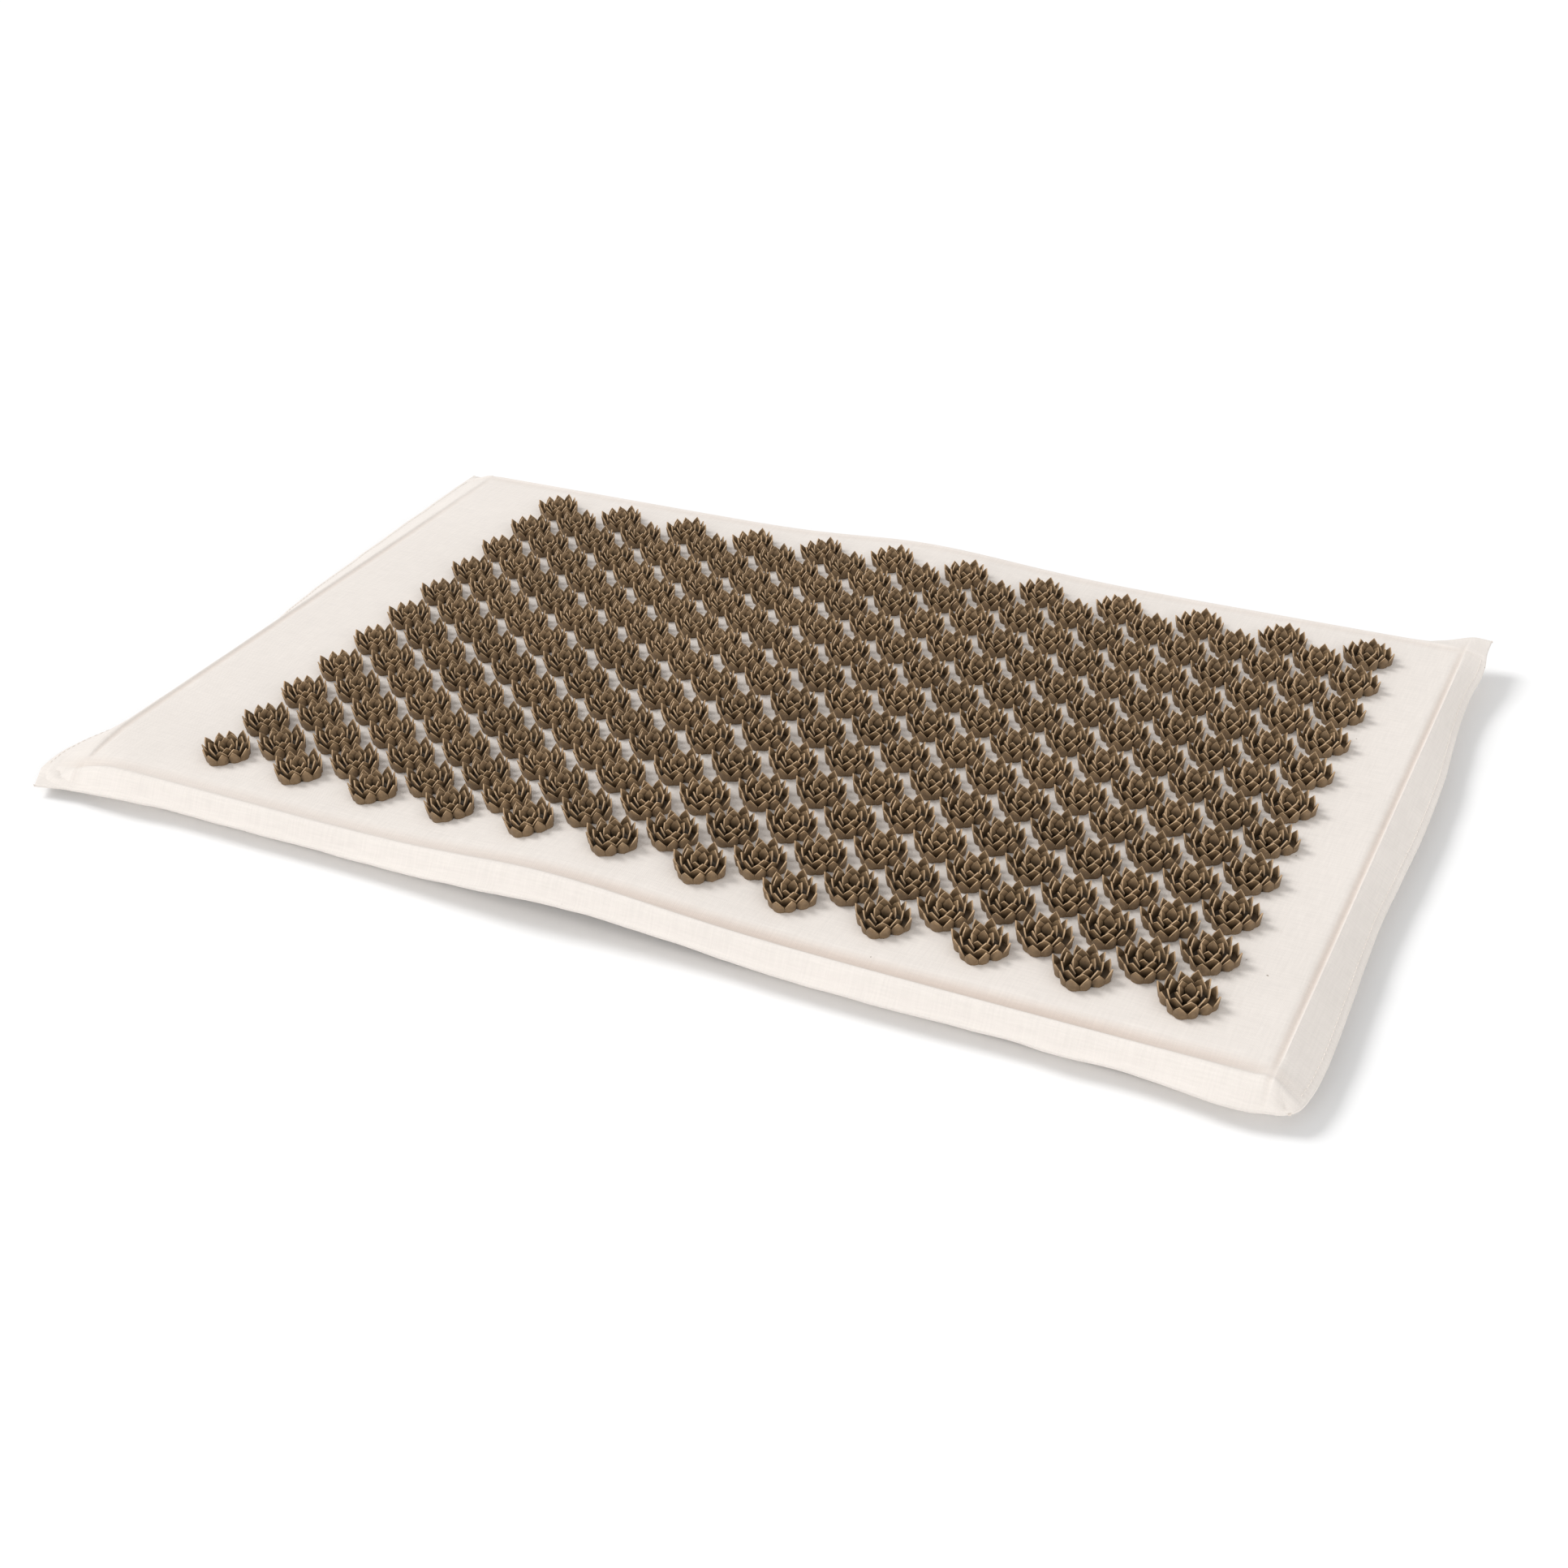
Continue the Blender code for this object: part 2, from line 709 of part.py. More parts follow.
def pull_tab(surface, slider):
    """The pull tab, lying back along the closed zip, on the bar that turns in the slider's arch."""
    bar = PULL_THICKNESS / 2
    window_end = -(math.hypot(ARCH_SPAN / 2, ARCH_TUNNEL / 2 + ARCH_WALL) + RUN_CLEARANCE)
    window_half = ARCH_WIDTH / 2 + RUN_CLEARANCE
    eye_half = window_half + PULL_EYE_WALL
    tail_half = PULL_TAIL_WIDTH / 2
    tail_x = tail_half - PULL_LENGTH
    outline_spots = [(bar, -eye_half), (bar, eye_half), (window_end - PULL_EYE_WALL, eye_half)]
    for step in range(PULL_STEPS + 1):
        turn = math.pi / 2 + math.pi * step / PULL_STEPS
        outline_spots.append((tail_x + tail_half * math.cos(turn), tail_half * math.sin(turn)))
    outline_spots.append((window_end - PULL_EYE_WALL, -eye_half))
    plate = prism(outline_spots, -bar, bar, "y", "zip_pull_tab", surface)
    pivot = (0, PULL_AXIS_Y - ARCH_Y, 0)
    pull = place("zip_pull_tab", plate, pivot, slider)
    corners = rectangle(window_end, -bar, -window_half, window_half)
    window = prism(corners, -bar - OVERRUN, bar + OVERRUN, "y", "pull_window", surface)
    combine(pull, helper("pull_window", window, pivot, slider), "DIFFERENCE")
    bevel(pull, PULL_BEVEL)
    return pull


def zip_fastener(tape_surface, coil_surface, metal_surface, parent):
    """The zip in the far side: tapes, coils, end stops, slider and pull tab."""
    middle = (0, 0, SEAM_HEIGHT)
    for word, side in (("upper", 1), ("lower", -1)):
        place(f"zip_tape_{word}", zip_tape(side, tape_surface), middle, parent)
        place(f"zip_coil_{word}", zip_coil(side, coil_surface), middle, parent)
    stop_mesh = zip_stop(metal_surface)
    for word, side in (("left", -1), ("right", 1)):
        x = side * (ZIP_LENGTH / 2 + SEAT_GAP + STOP_LENGTH / 2)
        bevel(place(f"zip_stop_{word}", stop_mesh, (x, 0, SEAM_HEIGHT), parent), STOP_BEVEL)
    pull_tab(metal_surface, zip_slider(metal_surface, parent))


def main():
    """Clear the scene and build the mat."""
    for obj in list(bpy.data.objects):
        bpy.data.objects.remove(obj)
    cotton = material("natural cotton", (0.83, 0.79, 0.74), 0.9)
    lining = material("cotton underside", (0.79, 0.75, 0.70), 0.95)
    foam = material("open cell foam", (0.86, 0.83, 0.72), 0.85)
    plastic = material("moulded petal plastic", (0.17, 0.13, 0.075), 0.55)
    tape = material("woven zip tape", (0.78, 0.75, 0.69), 0.85)
    nylon = material("nylon coil", (0.80, 0.77, 0.71), 0.45)
    metal = material("dull nickel", (0.55, 0.54, 0.52), 0.35, 1.0)

    mat = place("acupressure_mat", None)
    place("foam_core", foam_slab(foam), parent=mat)
    place("cover_top_panel", upper_panel(cotton), parent=mat)
    place("cover_bottom_panel", lower_panel(lining), parent=mat)
    border_discs(plastic, mat)
    zip_fastener(tape, nylon, metal, mat)


main()
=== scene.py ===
"""Looks of an acupressure mat: a foam slab in a natural cotton cover, with two grids of moulded lotus discs.

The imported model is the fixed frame, and every size that follows from it is read from its boxes. The classes
below hold the sizes that only the surface shows. Lengths are in metres and angles in radians. +X runs along
the mat, +Y points to the zip and +Z is up.
"""

import functools
import logging
import math
import random
from collections.abc import Callable, Iterable, Sequence
from dataclasses import dataclass
from enum import Enum

import bpy
import numpy as np
from mathutils import Matrix, Vector


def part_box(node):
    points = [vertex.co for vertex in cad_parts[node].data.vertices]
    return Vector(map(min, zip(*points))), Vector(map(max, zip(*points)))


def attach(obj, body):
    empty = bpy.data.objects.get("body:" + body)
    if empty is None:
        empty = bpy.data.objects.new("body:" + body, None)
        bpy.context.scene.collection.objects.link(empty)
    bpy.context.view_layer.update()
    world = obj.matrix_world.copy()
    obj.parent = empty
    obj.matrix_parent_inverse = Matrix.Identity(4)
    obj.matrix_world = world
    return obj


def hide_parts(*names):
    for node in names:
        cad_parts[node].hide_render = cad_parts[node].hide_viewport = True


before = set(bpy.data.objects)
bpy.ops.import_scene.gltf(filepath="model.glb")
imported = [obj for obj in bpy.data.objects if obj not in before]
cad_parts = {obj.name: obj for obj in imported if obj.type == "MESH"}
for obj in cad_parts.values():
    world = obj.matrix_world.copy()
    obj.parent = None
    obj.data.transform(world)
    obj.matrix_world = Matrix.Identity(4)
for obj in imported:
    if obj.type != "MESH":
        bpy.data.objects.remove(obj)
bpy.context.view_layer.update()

LOG = logging.getLogger("mat")
Colour = tuple[float, float, float]
FULL_TURN = 2 * math.pi


class Body(Enum):
    """The moving bodies of the frame."""

    MAT = "mat"
    SLIDER = "zip_slider"
    PULL = "zip_pull"


class Slot(Enum):
    """The record's material slots."""

    COTTON = "cover_cotton"
    FOAM = "foam"
    LOTUS = "lotus_plastic"
    TAPE = "zip_tape"
    COIL = "zip_coil"
    METAL = "zip_metal"


class SideName(Enum):
    """The four sides of the mat."""

    NEAR = "near"
    RIGHT = "right"
    FAR = "far"
    LEFT = "left"


class Panel(Enum):
    """The two halves of the cover, with the way that each one faces."""

    TOP = 1
    BOTTOM = -1


# Helpers that edit a mesh with Blender's own tools


def deselect_all() -> None:
    """Leave object mode with nothing selected."""
    if bpy.context.object and bpy.context.object.mode != "OBJECT":
        bpy.ops.object.mode_set(mode="OBJECT")
    bpy.ops.object.select_all(action="DESELECT")


def activate(obj: bpy.types.Object) -> None:
    """Select one object alone and make it the active one.

    Args:
        obj: The object that the next operators act on.
    """
    deselect_all()
    obj.select_set(True)
    bpy.context.view_layer.objects.active = obj


def fresh(name: str) -> bpy.types.Object:
    """Name the primitive that an operator has just added.

    Args:
        name: Name of the new object and its mesh.

    Returns:
        The new object.
    """
    obj = bpy.context.object
    obj.name = name
    obj.data.name = name
    return obj


def pick_vertices(obj: bpy.types.Object, wanted: Callable[[Vector], bool]) -> None:
    """Go to edit mode with only the vertices at wanted places selected.

    Args:
        obj: A mesh object.
        wanted: Says of a vertex's place whether it is selected.
    """
    activate(obj)
    bpy.ops.object.mode_set(mode="EDIT")
    bpy.ops.mesh.select_mode(type="VERT")
    bpy.ops.mesh.select_all(action="DESELECT")
    bpy.ops.object.mode_set(mode="OBJECT")
    for vertex in obj.data.vertices:
        vertex.select = wanted(vertex.co)
    bpy.ops.object.mode_set(mode="EDIT")


def apply_modifiers(obj: bpy.types.Object) -> None:
    """Apply every modifier of an object, in order.

    Args:
        obj: A mesh object.
    """
    activate(obj)
    for modifier in list(obj.modifiers):
        bpy.ops.object.modifier_apply(modifier=modifier.name)


def settle(obj: bpy.types.Object) -> None:
    """Put an object's place, turn and scale into its mesh."""
    activate(obj)
    bpy.ops.object.transform_apply(location=True, rotation=True, scale=True)


def join(parts: Sequence[bpy.types.Object], name: str) -> bpy.types.Object:
    """Join objects into one.

    Args:
        parts: Mesh objects, of which the first one takes in the rest.
        name: Name of the joined object.

    Returns:
        The joined object.
    """
    deselect_all()
    for part in parts:
        part.select_set(True)
    bpy.context.view_layer.objects.active = parts[0]
    bpy.ops.object.join()
    return fresh(name)


def smooth(obj: bpy.types.Object, degrees: float) -> None:
    """Shade a piece smooth, apart from edges sharper than an angle."""
    activate(obj)
    bpy.ops.object.shade_smooth_by_angle(angle=math.radians(degrees))


def wear(obj: bpy.types.Object, *materials: bpy.types.Material) -> None:
    """Give a piece these materials in place of what it has, one for each slot.

    Args:
        obj: The piece.
        materials: Its finishes, in the order of its material slots.
    """
    obj.data.materials.clear()
    for material in materials:
        obj.data.materials.append(material)


def deliver(obj: bpy.types.Object, body: Body, slot: Slot, *replaced: str) -> bpy.types.Object:
    """Fasten a finished piece to its body, hide the CAD nodes that it stands for, and log it.

    Args:
        obj: The finished piece.
        body: The body that it moves with.
        slot: The record's slot for its finish; it is not used.
        replaced: Names of the CAD nodes that it stands for.

    Returns:
        The piece.
    """
    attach(obj, body.value)
    if replaced:
        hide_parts(*replaced)
    LOG.info("%s: %d faces, on %s", obj.name, len(obj.data.polygons), body.value)
    return obj


def ease(share: float) -> float:
    """Turn a share, which is kept between 0 and 1, into one that starts and ends gently."""
    held = min(1.0, max(0.0, share))
    return held * held * (3 - 2 * held)


def bell(distance: float, width: float) -> float:
    """A smooth rise that is 1 in its middle and falls to about a third at a width."""
    return math.exp(-((distance / width) ** 2))


# Finishes


class Graph:
    """A material's node tree, built link by link."""

    def __init__(self, name: str) -> None:
        """Start a material with one Principled shader.

        Args:
            name: Name of the material.
        """
        self.material = bpy.data.materials.new(name)
        self.material.use_nodes = True
        self.tree = self.material.node_tree
        self.shader = self.tree.nodes["Principled BSDF"]

    def add(self, kind: str, values: dict | None = None, **settings: object) -> bpy.types.Node:
        """Add a node.

        Args:
            kind: The node's type, without its ShaderNode prefix.
            values: What goes into its inputs: a number, a colour or another node's output.
            settings: Its properties.

        Returns:
            The new node.
        """
        node = self.tree.nodes.new(f"ShaderNode{kind}")
        for name, value in settings.items():
            setattr(node, name, value)
        for name, value in (values or {}).items():
            self.feed(node.inputs[name], value)
        return node

    def feed(self, socket: bpy.types.NodeSocket, value: object) -> None:
        """Set an input, or link an output to it.

        Args:
            socket: The input.
            value: A number, a colour or another node's output.
        """
        if isinstance(value, bpy.types.NodeSocket):
            self.tree.links.new(value, socket)
        elif isinstance(value, tuple) and len(value) == 3 and socket.type == "RGBA":
            socket.default_value = (*value, 1.0)
        else:
            socket.default_value = value

    def math(self, operation: str, first: object, second: object = 0.0) -> bpy.types.NodeSocket:
        """Add a Math node."""
        return self.add("Math", {0: first, 1: second}, operation=operation).outputs[0]

    def blend(self, factor: object, first: object, second: object, mode: str = "MIX") -> bpy.types.NodeSocket:
        """Mix two colours.

        Args:
            factor: How much of the second colour shows.
            first: The first colour.
            second: The second colour.
            mode: The way they are mixed.

        Returns:
            The mixed colour.
        """
        node = self.add("Mix", data_type="RGBA", blend_type=mode)
        self.feed(node.inputs[0], factor)
        self.feed(node.inputs[6], first)
        self.feed(node.inputs[7], second)
        return node.outputs[2]

    def dim(self, colour: object, tone: object) -> bpy.types.NodeSocket:
        """Multiply a colour by a number."""
        grey = self.add("CombineXYZ", {0: tone, 1: tone, 2: tone}).outputs[0]
        return self.blend(1.0, colour, grey, "MULTIPLY")

    def span(
        self, value: object, low: float, high: float, to_low: float, to_high: float
    ) -> bpy.types.NodeSocket:
        """Map a number from one range to another, held at both ends."""
        numbers = {"Value": value, "From Min": low, "From Max": high, "To Min": to_low, "To Max": to_high}
        return self.add("MapRange", numbers).outputs[0]

    def noise(self, place: object, scale: float, detail: float = 3.0) -> bpy.types.NodeSocket:
        """Add a cloud-like noise."""
        return self.add("TexNoise", {"Vector": place, "Scale": scale, "Detail": detail}).outputs[0]

    def stretch(self, place: object, scale: Colour) -> bpy.types.NodeSocket:
        """Stretch coordinates along their axes."""
        return self.add("Mapping", {"Vector": place, "Scale": scale}).outputs[0]

    def own_place(self) -> bpy.types.NodeSocket:
        """Coordinates in the piece's own space."""
        return self.add("TexCoord").outputs["Object"]

    def cloth_place(self) -> bpy.types.NodeSocket:
        """Coordinates in the flat cloth, in metres, from the piece's UV map."""
        return self.add("TexCoord").outputs["UV"]

    def attribute(self, name: str) -> bpy.types.NodeSocket:
        """A number that the mesh holds at each vertex."""
        return self.add("Attribute", attribute_name=name).outputs["Fac"]

    def bump(
        self, height: object, strength: float, depth: float, under: object = None
    ) -> bpy.types.NodeSocket:
        """Turn a height into a bumpy normal.

        Args:
            height: The height, from 0 to 1.
            strength: How strongly it shows.
            depth: The real height that 1 stands for.
            under: Another normal that this one is laid over.

        Returns:
            The normal.
        """
        node = self.add("Bump", {"Height": height, "Strength": strength, "Distance": depth})
        if under is not None:
            self.feed(node.inputs["Normal"], under)
        return node.outputs[0]

    def finish(
        self, colour: object, roughness: object, normal: object = None, **fixed: float
    ) -> bpy.types.Material:
        """Connect the shader.

        Args:
            colour: Base colour.
            roughness: Roughness.
            normal: Bumpy normal, where there is one.
            fixed: Numbers that are the same all over, by the shader's own input names.

        Returns:
            The material.
        """
        self.feed(self.shader.inputs["Base Color"], colour)
        self.feed(self.shader.inputs["Roughness"], roughness)
        if normal is not None:
            self.feed(self.shader.inputs["Normal"], normal)
        for name, value in fixed.items():
            self.shader.inputs[name.replace("_", " ").title().replace("Ior", "IOR")].default_value = value
        return self.material


@dataclass(frozen=True)
class CottonCanvas:
    """Unbleached plain-weave cotton with thick and thin yarns, a few dark flecks of seed, and painted shade
    in the valley inside its crest.

    Attributes:
        name: Name of the material.
        cream: Colour of the cloth.
        beige: Colour of the painted shade in the valley inside the crest, where the cloth is darker and
            duller.
        seed: Colour of the flecks.
        yarn_pitch: Distance between neighbouring yarns.
        fleck_spacing: Size of the field in which one fleck may lie.
    """

    name: str
    cream: Colour = (0.800, 0.745, 0.695)
    beige: Colour = (0.675, 0.575, 0.505)
    seed: Colour = (0.20, 0.145, 0.10)
    yarn_pitch: float = 0.00045
    fleck_spacing: float = 0.013

    def weave(self, graph: Graph, place: bpy.types.NodeSocket) -> bpy.types.NodeSocket:
        """The height of yarns that pass over and under each other.

        Args:
            graph: The material's nodes.
            place: Coordinates in the cloth.

        Returns:
            The height, from -1 to 1.
        """
        parts = graph.add("SeparateXYZ", {0: place})
        waves = [
            graph.math("SINE", graph.math("MULTIPLY", parts.outputs[axis], FULL_TURN / 2 / self.yarn_pitch))
            for axis in range(2)
        ]
        return graph.math("MULTIPLY", *waves)

    def slubs(self, graph: Graph, place: bpy.types.NodeSocket) -> bpy.types.NodeSocket:
        """Long thick and thin places in the yarns of both directions.

        Args:
            graph: The material's nodes.
            place: Coordinates in the cloth.

        Returns:
            A number about one half.
        """
        across = graph.noise(graph.stretch(place, (1.0, 14.0, 1.0)), 60, 2)
        along = graph.noise(graph.stretch(place, (14.0, 1.0, 1.0)), 60, 2)
        return graph.math("MULTIPLY", graph.math("ADD", across, along), 0.5)

    def flecks(self, graph: Graph, place: bpy.types.NodeSocket) -> bpy.types.NodeSocket:
        """Small ragged specks, scattered thinly.

        Args:
            graph: The material's nodes.
            place: Coordinates in the cloth.

        Returns:
            1 inside a speck and 0 outside.
        """
        rag = graph.add("TexNoise", {"Vector": place, "Scale": 1400.0, "Detail": 1.0}).outputs["Color"]
        ragged = graph.blend(0.0009, place, rag, "ADD")
        cells = graph.add("TexVoronoi", {"Vector": ragged, "Scale": 1 / self.fleck_spacing})
        tint = graph.add("SeparateXYZ", {0: cells.outputs["Color"]})
        size = graph.span(tint.outputs[0], 0.62, 1.0, 0.0, 0.055)
        return graph.span(graph.math("SUBTRACT", size, cells.outputs["Distance"]), 0.0, 0.012, 0.0, 1.0)

    def make(self) -> bpy.types.Material:
        """Build the material."""
        graph = Graph(self.name)
        place = graph.cloth_place()
        weave = self.weave(graph, place)
        slubs = self.slubs(graph, place)
        clouds = graph.noise(place, 9, 4)
        crease = graph.attribute("crease")
        tone = graph.span(slubs, 0.35, 0.65, 0.955, 1.03)
        tone = graph.math("MULTIPLY", tone, graph.span(clouds, 0.3, 0.7, 0.975, 1.012))
        tone = graph.math("MULTIPLY", tone, graph.span(weave, -1.0, 1.0, 0.975, 1.01))
        # Painted shade: in the valley inside the crest the cloth is mixed towards a darker, duller colour,
        # standing for the shade that falls there.
        cloth = graph.blend(crease, self.cream, self.beige)
        specks = graph.math("MULTIPLY", self.flecks(graph, place), 0.75)
        flecked = graph.blend(specks, graph.dim(cloth, tone), self.seed)
        fuzz = graph.noise(place, 2600, 2)
        soft = graph.bump(fuzz, 0.25, 0.00006)
        height = graph.math("ADD", graph.math("MULTIPLY", weave, 0.3), slubs)
        normal = graph.bump(height, 0.55, 0.00016, soft)
        sheen = {"sheen_weight": 0.12, "sheen_roughness": 0.5}
        return graph.finish(flecked, 0.92, normal, specular_ior_level=0.25, **sheen)


@dataclass(frozen=True)
class LotusPlastic:
    """Matt olive-brown moulded plastic, with painted shade low down between the petals and painted light at
    the tips.

    Attributes:
        name: Name of the material.
        body: Its usual colour.
        light: The colour of its paler clouds.
        shade: How dark the painted shade makes it at the foot, between the petals.
        tip: How much paler the painted light makes it at the tips.
    """

    name: str
    body: Colour
    light: Colour
    shade: float
    tip: float

    def make(self) -> bpy.types.Material:
        """Build the material."""
        graph = Graph(self.name)
        place = graph.own_place()
        clouds = graph.noise(place, 420, 3)
        grain = graph.noise(place, 5200, 2)
        tone = graph.attribute("tone")
        rise = graph.attribute("rise")
        mixed = graph.blend(graph.span(clouds, 0.35, 0.65, 0.0, 1.0), self.body, self.light)
        # Painted shade and light: the colour darkens towards the foot, where shade falls between the petals,
        # and pales towards the tips.
        lit = graph.span(rise, 0.05, 0.75, self.shade, 1.0)
        tipped = graph.math("MULTIPLY", lit, graph.span(rise, 0.6, 1.0, 1.0, self.tip))
        toned = graph.dim(mixed, graph.math("MULTIPLY", tipped, tone))
        roughness = graph.span(clouds, 0.3, 0.7, 0.5, 0.62)
        return graph.finish(toned, roughness, graph.bump(grain, 0.35, 0.00005), specular_ior_level=0.4)


@dataclass(frozen=True)
class WovenTape:
    """Zip tape in a fine herringbone.

    Attributes:
        name: Name of the material.
        colour: Its colour.
        rib: Width of one rib of the herringbone.
    """

    name: str
    colour: Colour
    rib: float = 0.0016

    def make(self) -> bpy.types.Material:
        """Build the material."""
        graph = Graph(self.name)
        place = graph.own_place()
        parts = graph.add("SeparateXYZ", {0: place})
        zigzag = graph.math("PINGPONG", parts.outputs[2], self.rib)
        slant = graph.math("ADD", parts.outputs[0], zigzag)
        ribs = graph.math("SINE", graph.math("MULTIPLY", slant, FULL_TURN / self.rib * 2))
        tone = graph.span(ribs, -1.0, 1.0, 0.9, 1.04)
        toned = graph.dim(self.colour, tone)
        return graph.finish(toned, 0.85, graph.bump(ribs, 0.5, 0.0001), sheen_weight=0.1)


@dataclass(frozen=True)
class Clouded:
    """A plain finish whose tone and gloss drift a little, for metal, nylon, foam and thread.

    Attributes:
        name: Name of the material.
        colour: Its colour.
        roughness: Its mean roughness.
        metallic: 1 for metal and 0 for the rest.
        scale: Spots of tone to a metre.
        drift: How far tone and roughness stray from their means.
        grain: Bumps to a metre.
        depth: Height of the bumps.
    """

    name: str
    colour: Colour
    roughness: float
    metallic: float = 0.0
    scale: float = 180.0
    drift: float = 0.08
    grain: float = 2400.0
    depth: float = 0.00003

    def make(self) -> bpy.types.Material:
        """Build the material."""
        graph = Graph(self.name)
        place = graph.own_place()
        clouds = graph.noise(place, self.scale, 4)
        tone = graph.span(clouds, 0.3, 0.7, 1.0 - self.drift, 1.0 + self.drift)
        toned = graph.dim(self.colour, tone)
        roughness = graph.span(clouds, 0.3, 0.7, self.roughness - self.drift, self.roughness + self.drift)
        normal = graph.bump(graph.noise(place, self.grain, 2), 0.4, self.depth)
        return graph.finish(toned, roughness, normal, metallic=self.metallic)


# The field of lotus discs


@dataclass(frozen=True)
class Field:
    """The two interleaved grids of discs, read from the frame.

    Attributes:
        columns: Discs in a row of the main grid.
        rows: Rows of the main grid.
    """

    columns: int = 12
    rows: int = 11

    def centre(self, node: str) -> Vector:
        """The middle of a disc's foot, by the name of its CAD node."""
        low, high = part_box(node)
        return Vector(((low.x + high.x) / 2, (low.y + high.y) / 2, low.z))

    def place(self, column: float, row: float) -> Vector:
        """The middle of a disc's foot.

        Args:
            column: Columns from the left, where a half lies in the grid between.
            row: Rows from the near side, likewise.

        Returns:
            The point on the cloth.
        """
        first = self.centre("lotus_near_01")
        last = self.centre(f"lotus_far_{self.columns:02d}")
        across = column / (self.columns - 1)
        along = row / (self.rows - 1)
        return Vector((first.x + (last.x - first.x) * across, first.y + (last.y - first.y) * along, first.z))

    def nodes_of_row(self, row: int) -> list[str]:
        """CAD nodes that stand in a row of the main grid.

        Args:
            row: Rows from the near side.

        Returns:
            The names of the nodes.
        """
        if row in (0, self.rows - 1):
            side = "near" if row == 0 else "far"
            return [f"lotus_{side}_{column + 1:02d}" for column in range(self.columns)]
        return [f"lotus_{side}_{row + 1:02d}" for side in ("left", "right")]


@dataclass(frozen=True)
class PetalForm:
    """One upright petal: a thin sheet, curved across, cut to a point.

    Attributes:
        half: Half of its breadth at the foot of the sheet it is cut from.
        heights: Height of each row of its points, from foot to tip.
        shares: Breadth at each row, as a share of that.
        bulge: How far its middle stands out from its two edges.
        lean: How far its tip leans out.
        cells: Cells across the petal.
        wall: Its thickness.
    """

    half: float
    heights: tuple[float, ...]
    shares: tuple[float, ...]
    bulge: float
    lean: float
    cells: int
    wall: float

    def reach(self, across: float, height: float) -> float:
        """How far the sheet stands out at a place."""
        return self.bulge * (1 - (across / self.half) ** 2) + self.lean * height / self.heights[-1]

    def build(self, name: str, face: bpy.types.Material, rim: bpy.types.Material) -> bpy.types.Object:
        """Model the petal with its foot on the origin and its outer face towards +Y.

        Args:
            name: Name of the new object.
            face: Finish of its two faces.
            rim: Finish of its cut edge, paler than the faces as a painted highlight.

        Returns:
            The petal.
        """
        steps = len(self.heights) - 1
        bpy.ops.mesh.primitive_grid_add(x_subdivisions=self.cells, y_subdivisions=steps, size=2)
        petal = fresh(name)
        # Its points move this far aside while they take their places, so none is picked twice.
        clear = 10.0
        for row, (height, share) in enumerate(zip(self.heights, self.shares)):
            for cell in range(self.cells + 1):
                old = Vector((2 * cell / self.cells - 1, 2 * row / steps - 1, 0))
                across = old.x * self.half * max(share, 1e-4)
                new = Vector((across, clear + height, self.reach(across, height)))
                pick_vertices(petal, lambda spot, old=old: (spot - old).length < 1e-3)
                bpy.ops.transform.translate(value=new - old)
                bpy.ops.object.mode_set(mode="OBJECT")
        pick_vertices(petal, lambda spot: abs(spot.y - clear - self.heights[-1]) < 1e-5)
        bpy.ops.mesh.merge(type="CENTER")
        bpy.ops.mesh.select_all(action="SELECT")
        bpy.ops.transform.translate(value=(0, -clear, 0))
        bpy.ops.object.mode_set(mode="OBJECT")
        petal.rotation_euler = (math.pi / 2, 0, math.pi)
        settle(petal)
        petal.data.materials.append(face)
        petal.data.materials.append(rim)
        wall = petal.modifiers.new("wall", "SOLIDIFY")
        wall.thickness = self.wall
        wall.offset = -1
        # The rims take the paler finish, a painted highlight on the cut edges.
        wall.material_offset_rim = 1
        apply_modifiers(petal)
        return petal


@dataclass(frozen=True)
class InnerRing:
    """A ring of petals inside the outer wall.

    Attributes:
        name: Name of the ring.
        turn: Turn of its first petal from +X.
        count: Petals in the ring.
        foot: Radius at the foot.
        tip: Radius at the tips.
        half: Half of a petal's breadth.
        shoulder: Height at which its sides turn to the tip.
        foot_share: Breadth at the foot, as a share of the whole.
        bulge: How far its middle stands out from its edges.
    """

    name: str
    turn: float
    count: int
    foot: float
    tip: float
    half: float
    shoulder: float
    foot_share: float
    bulge: float


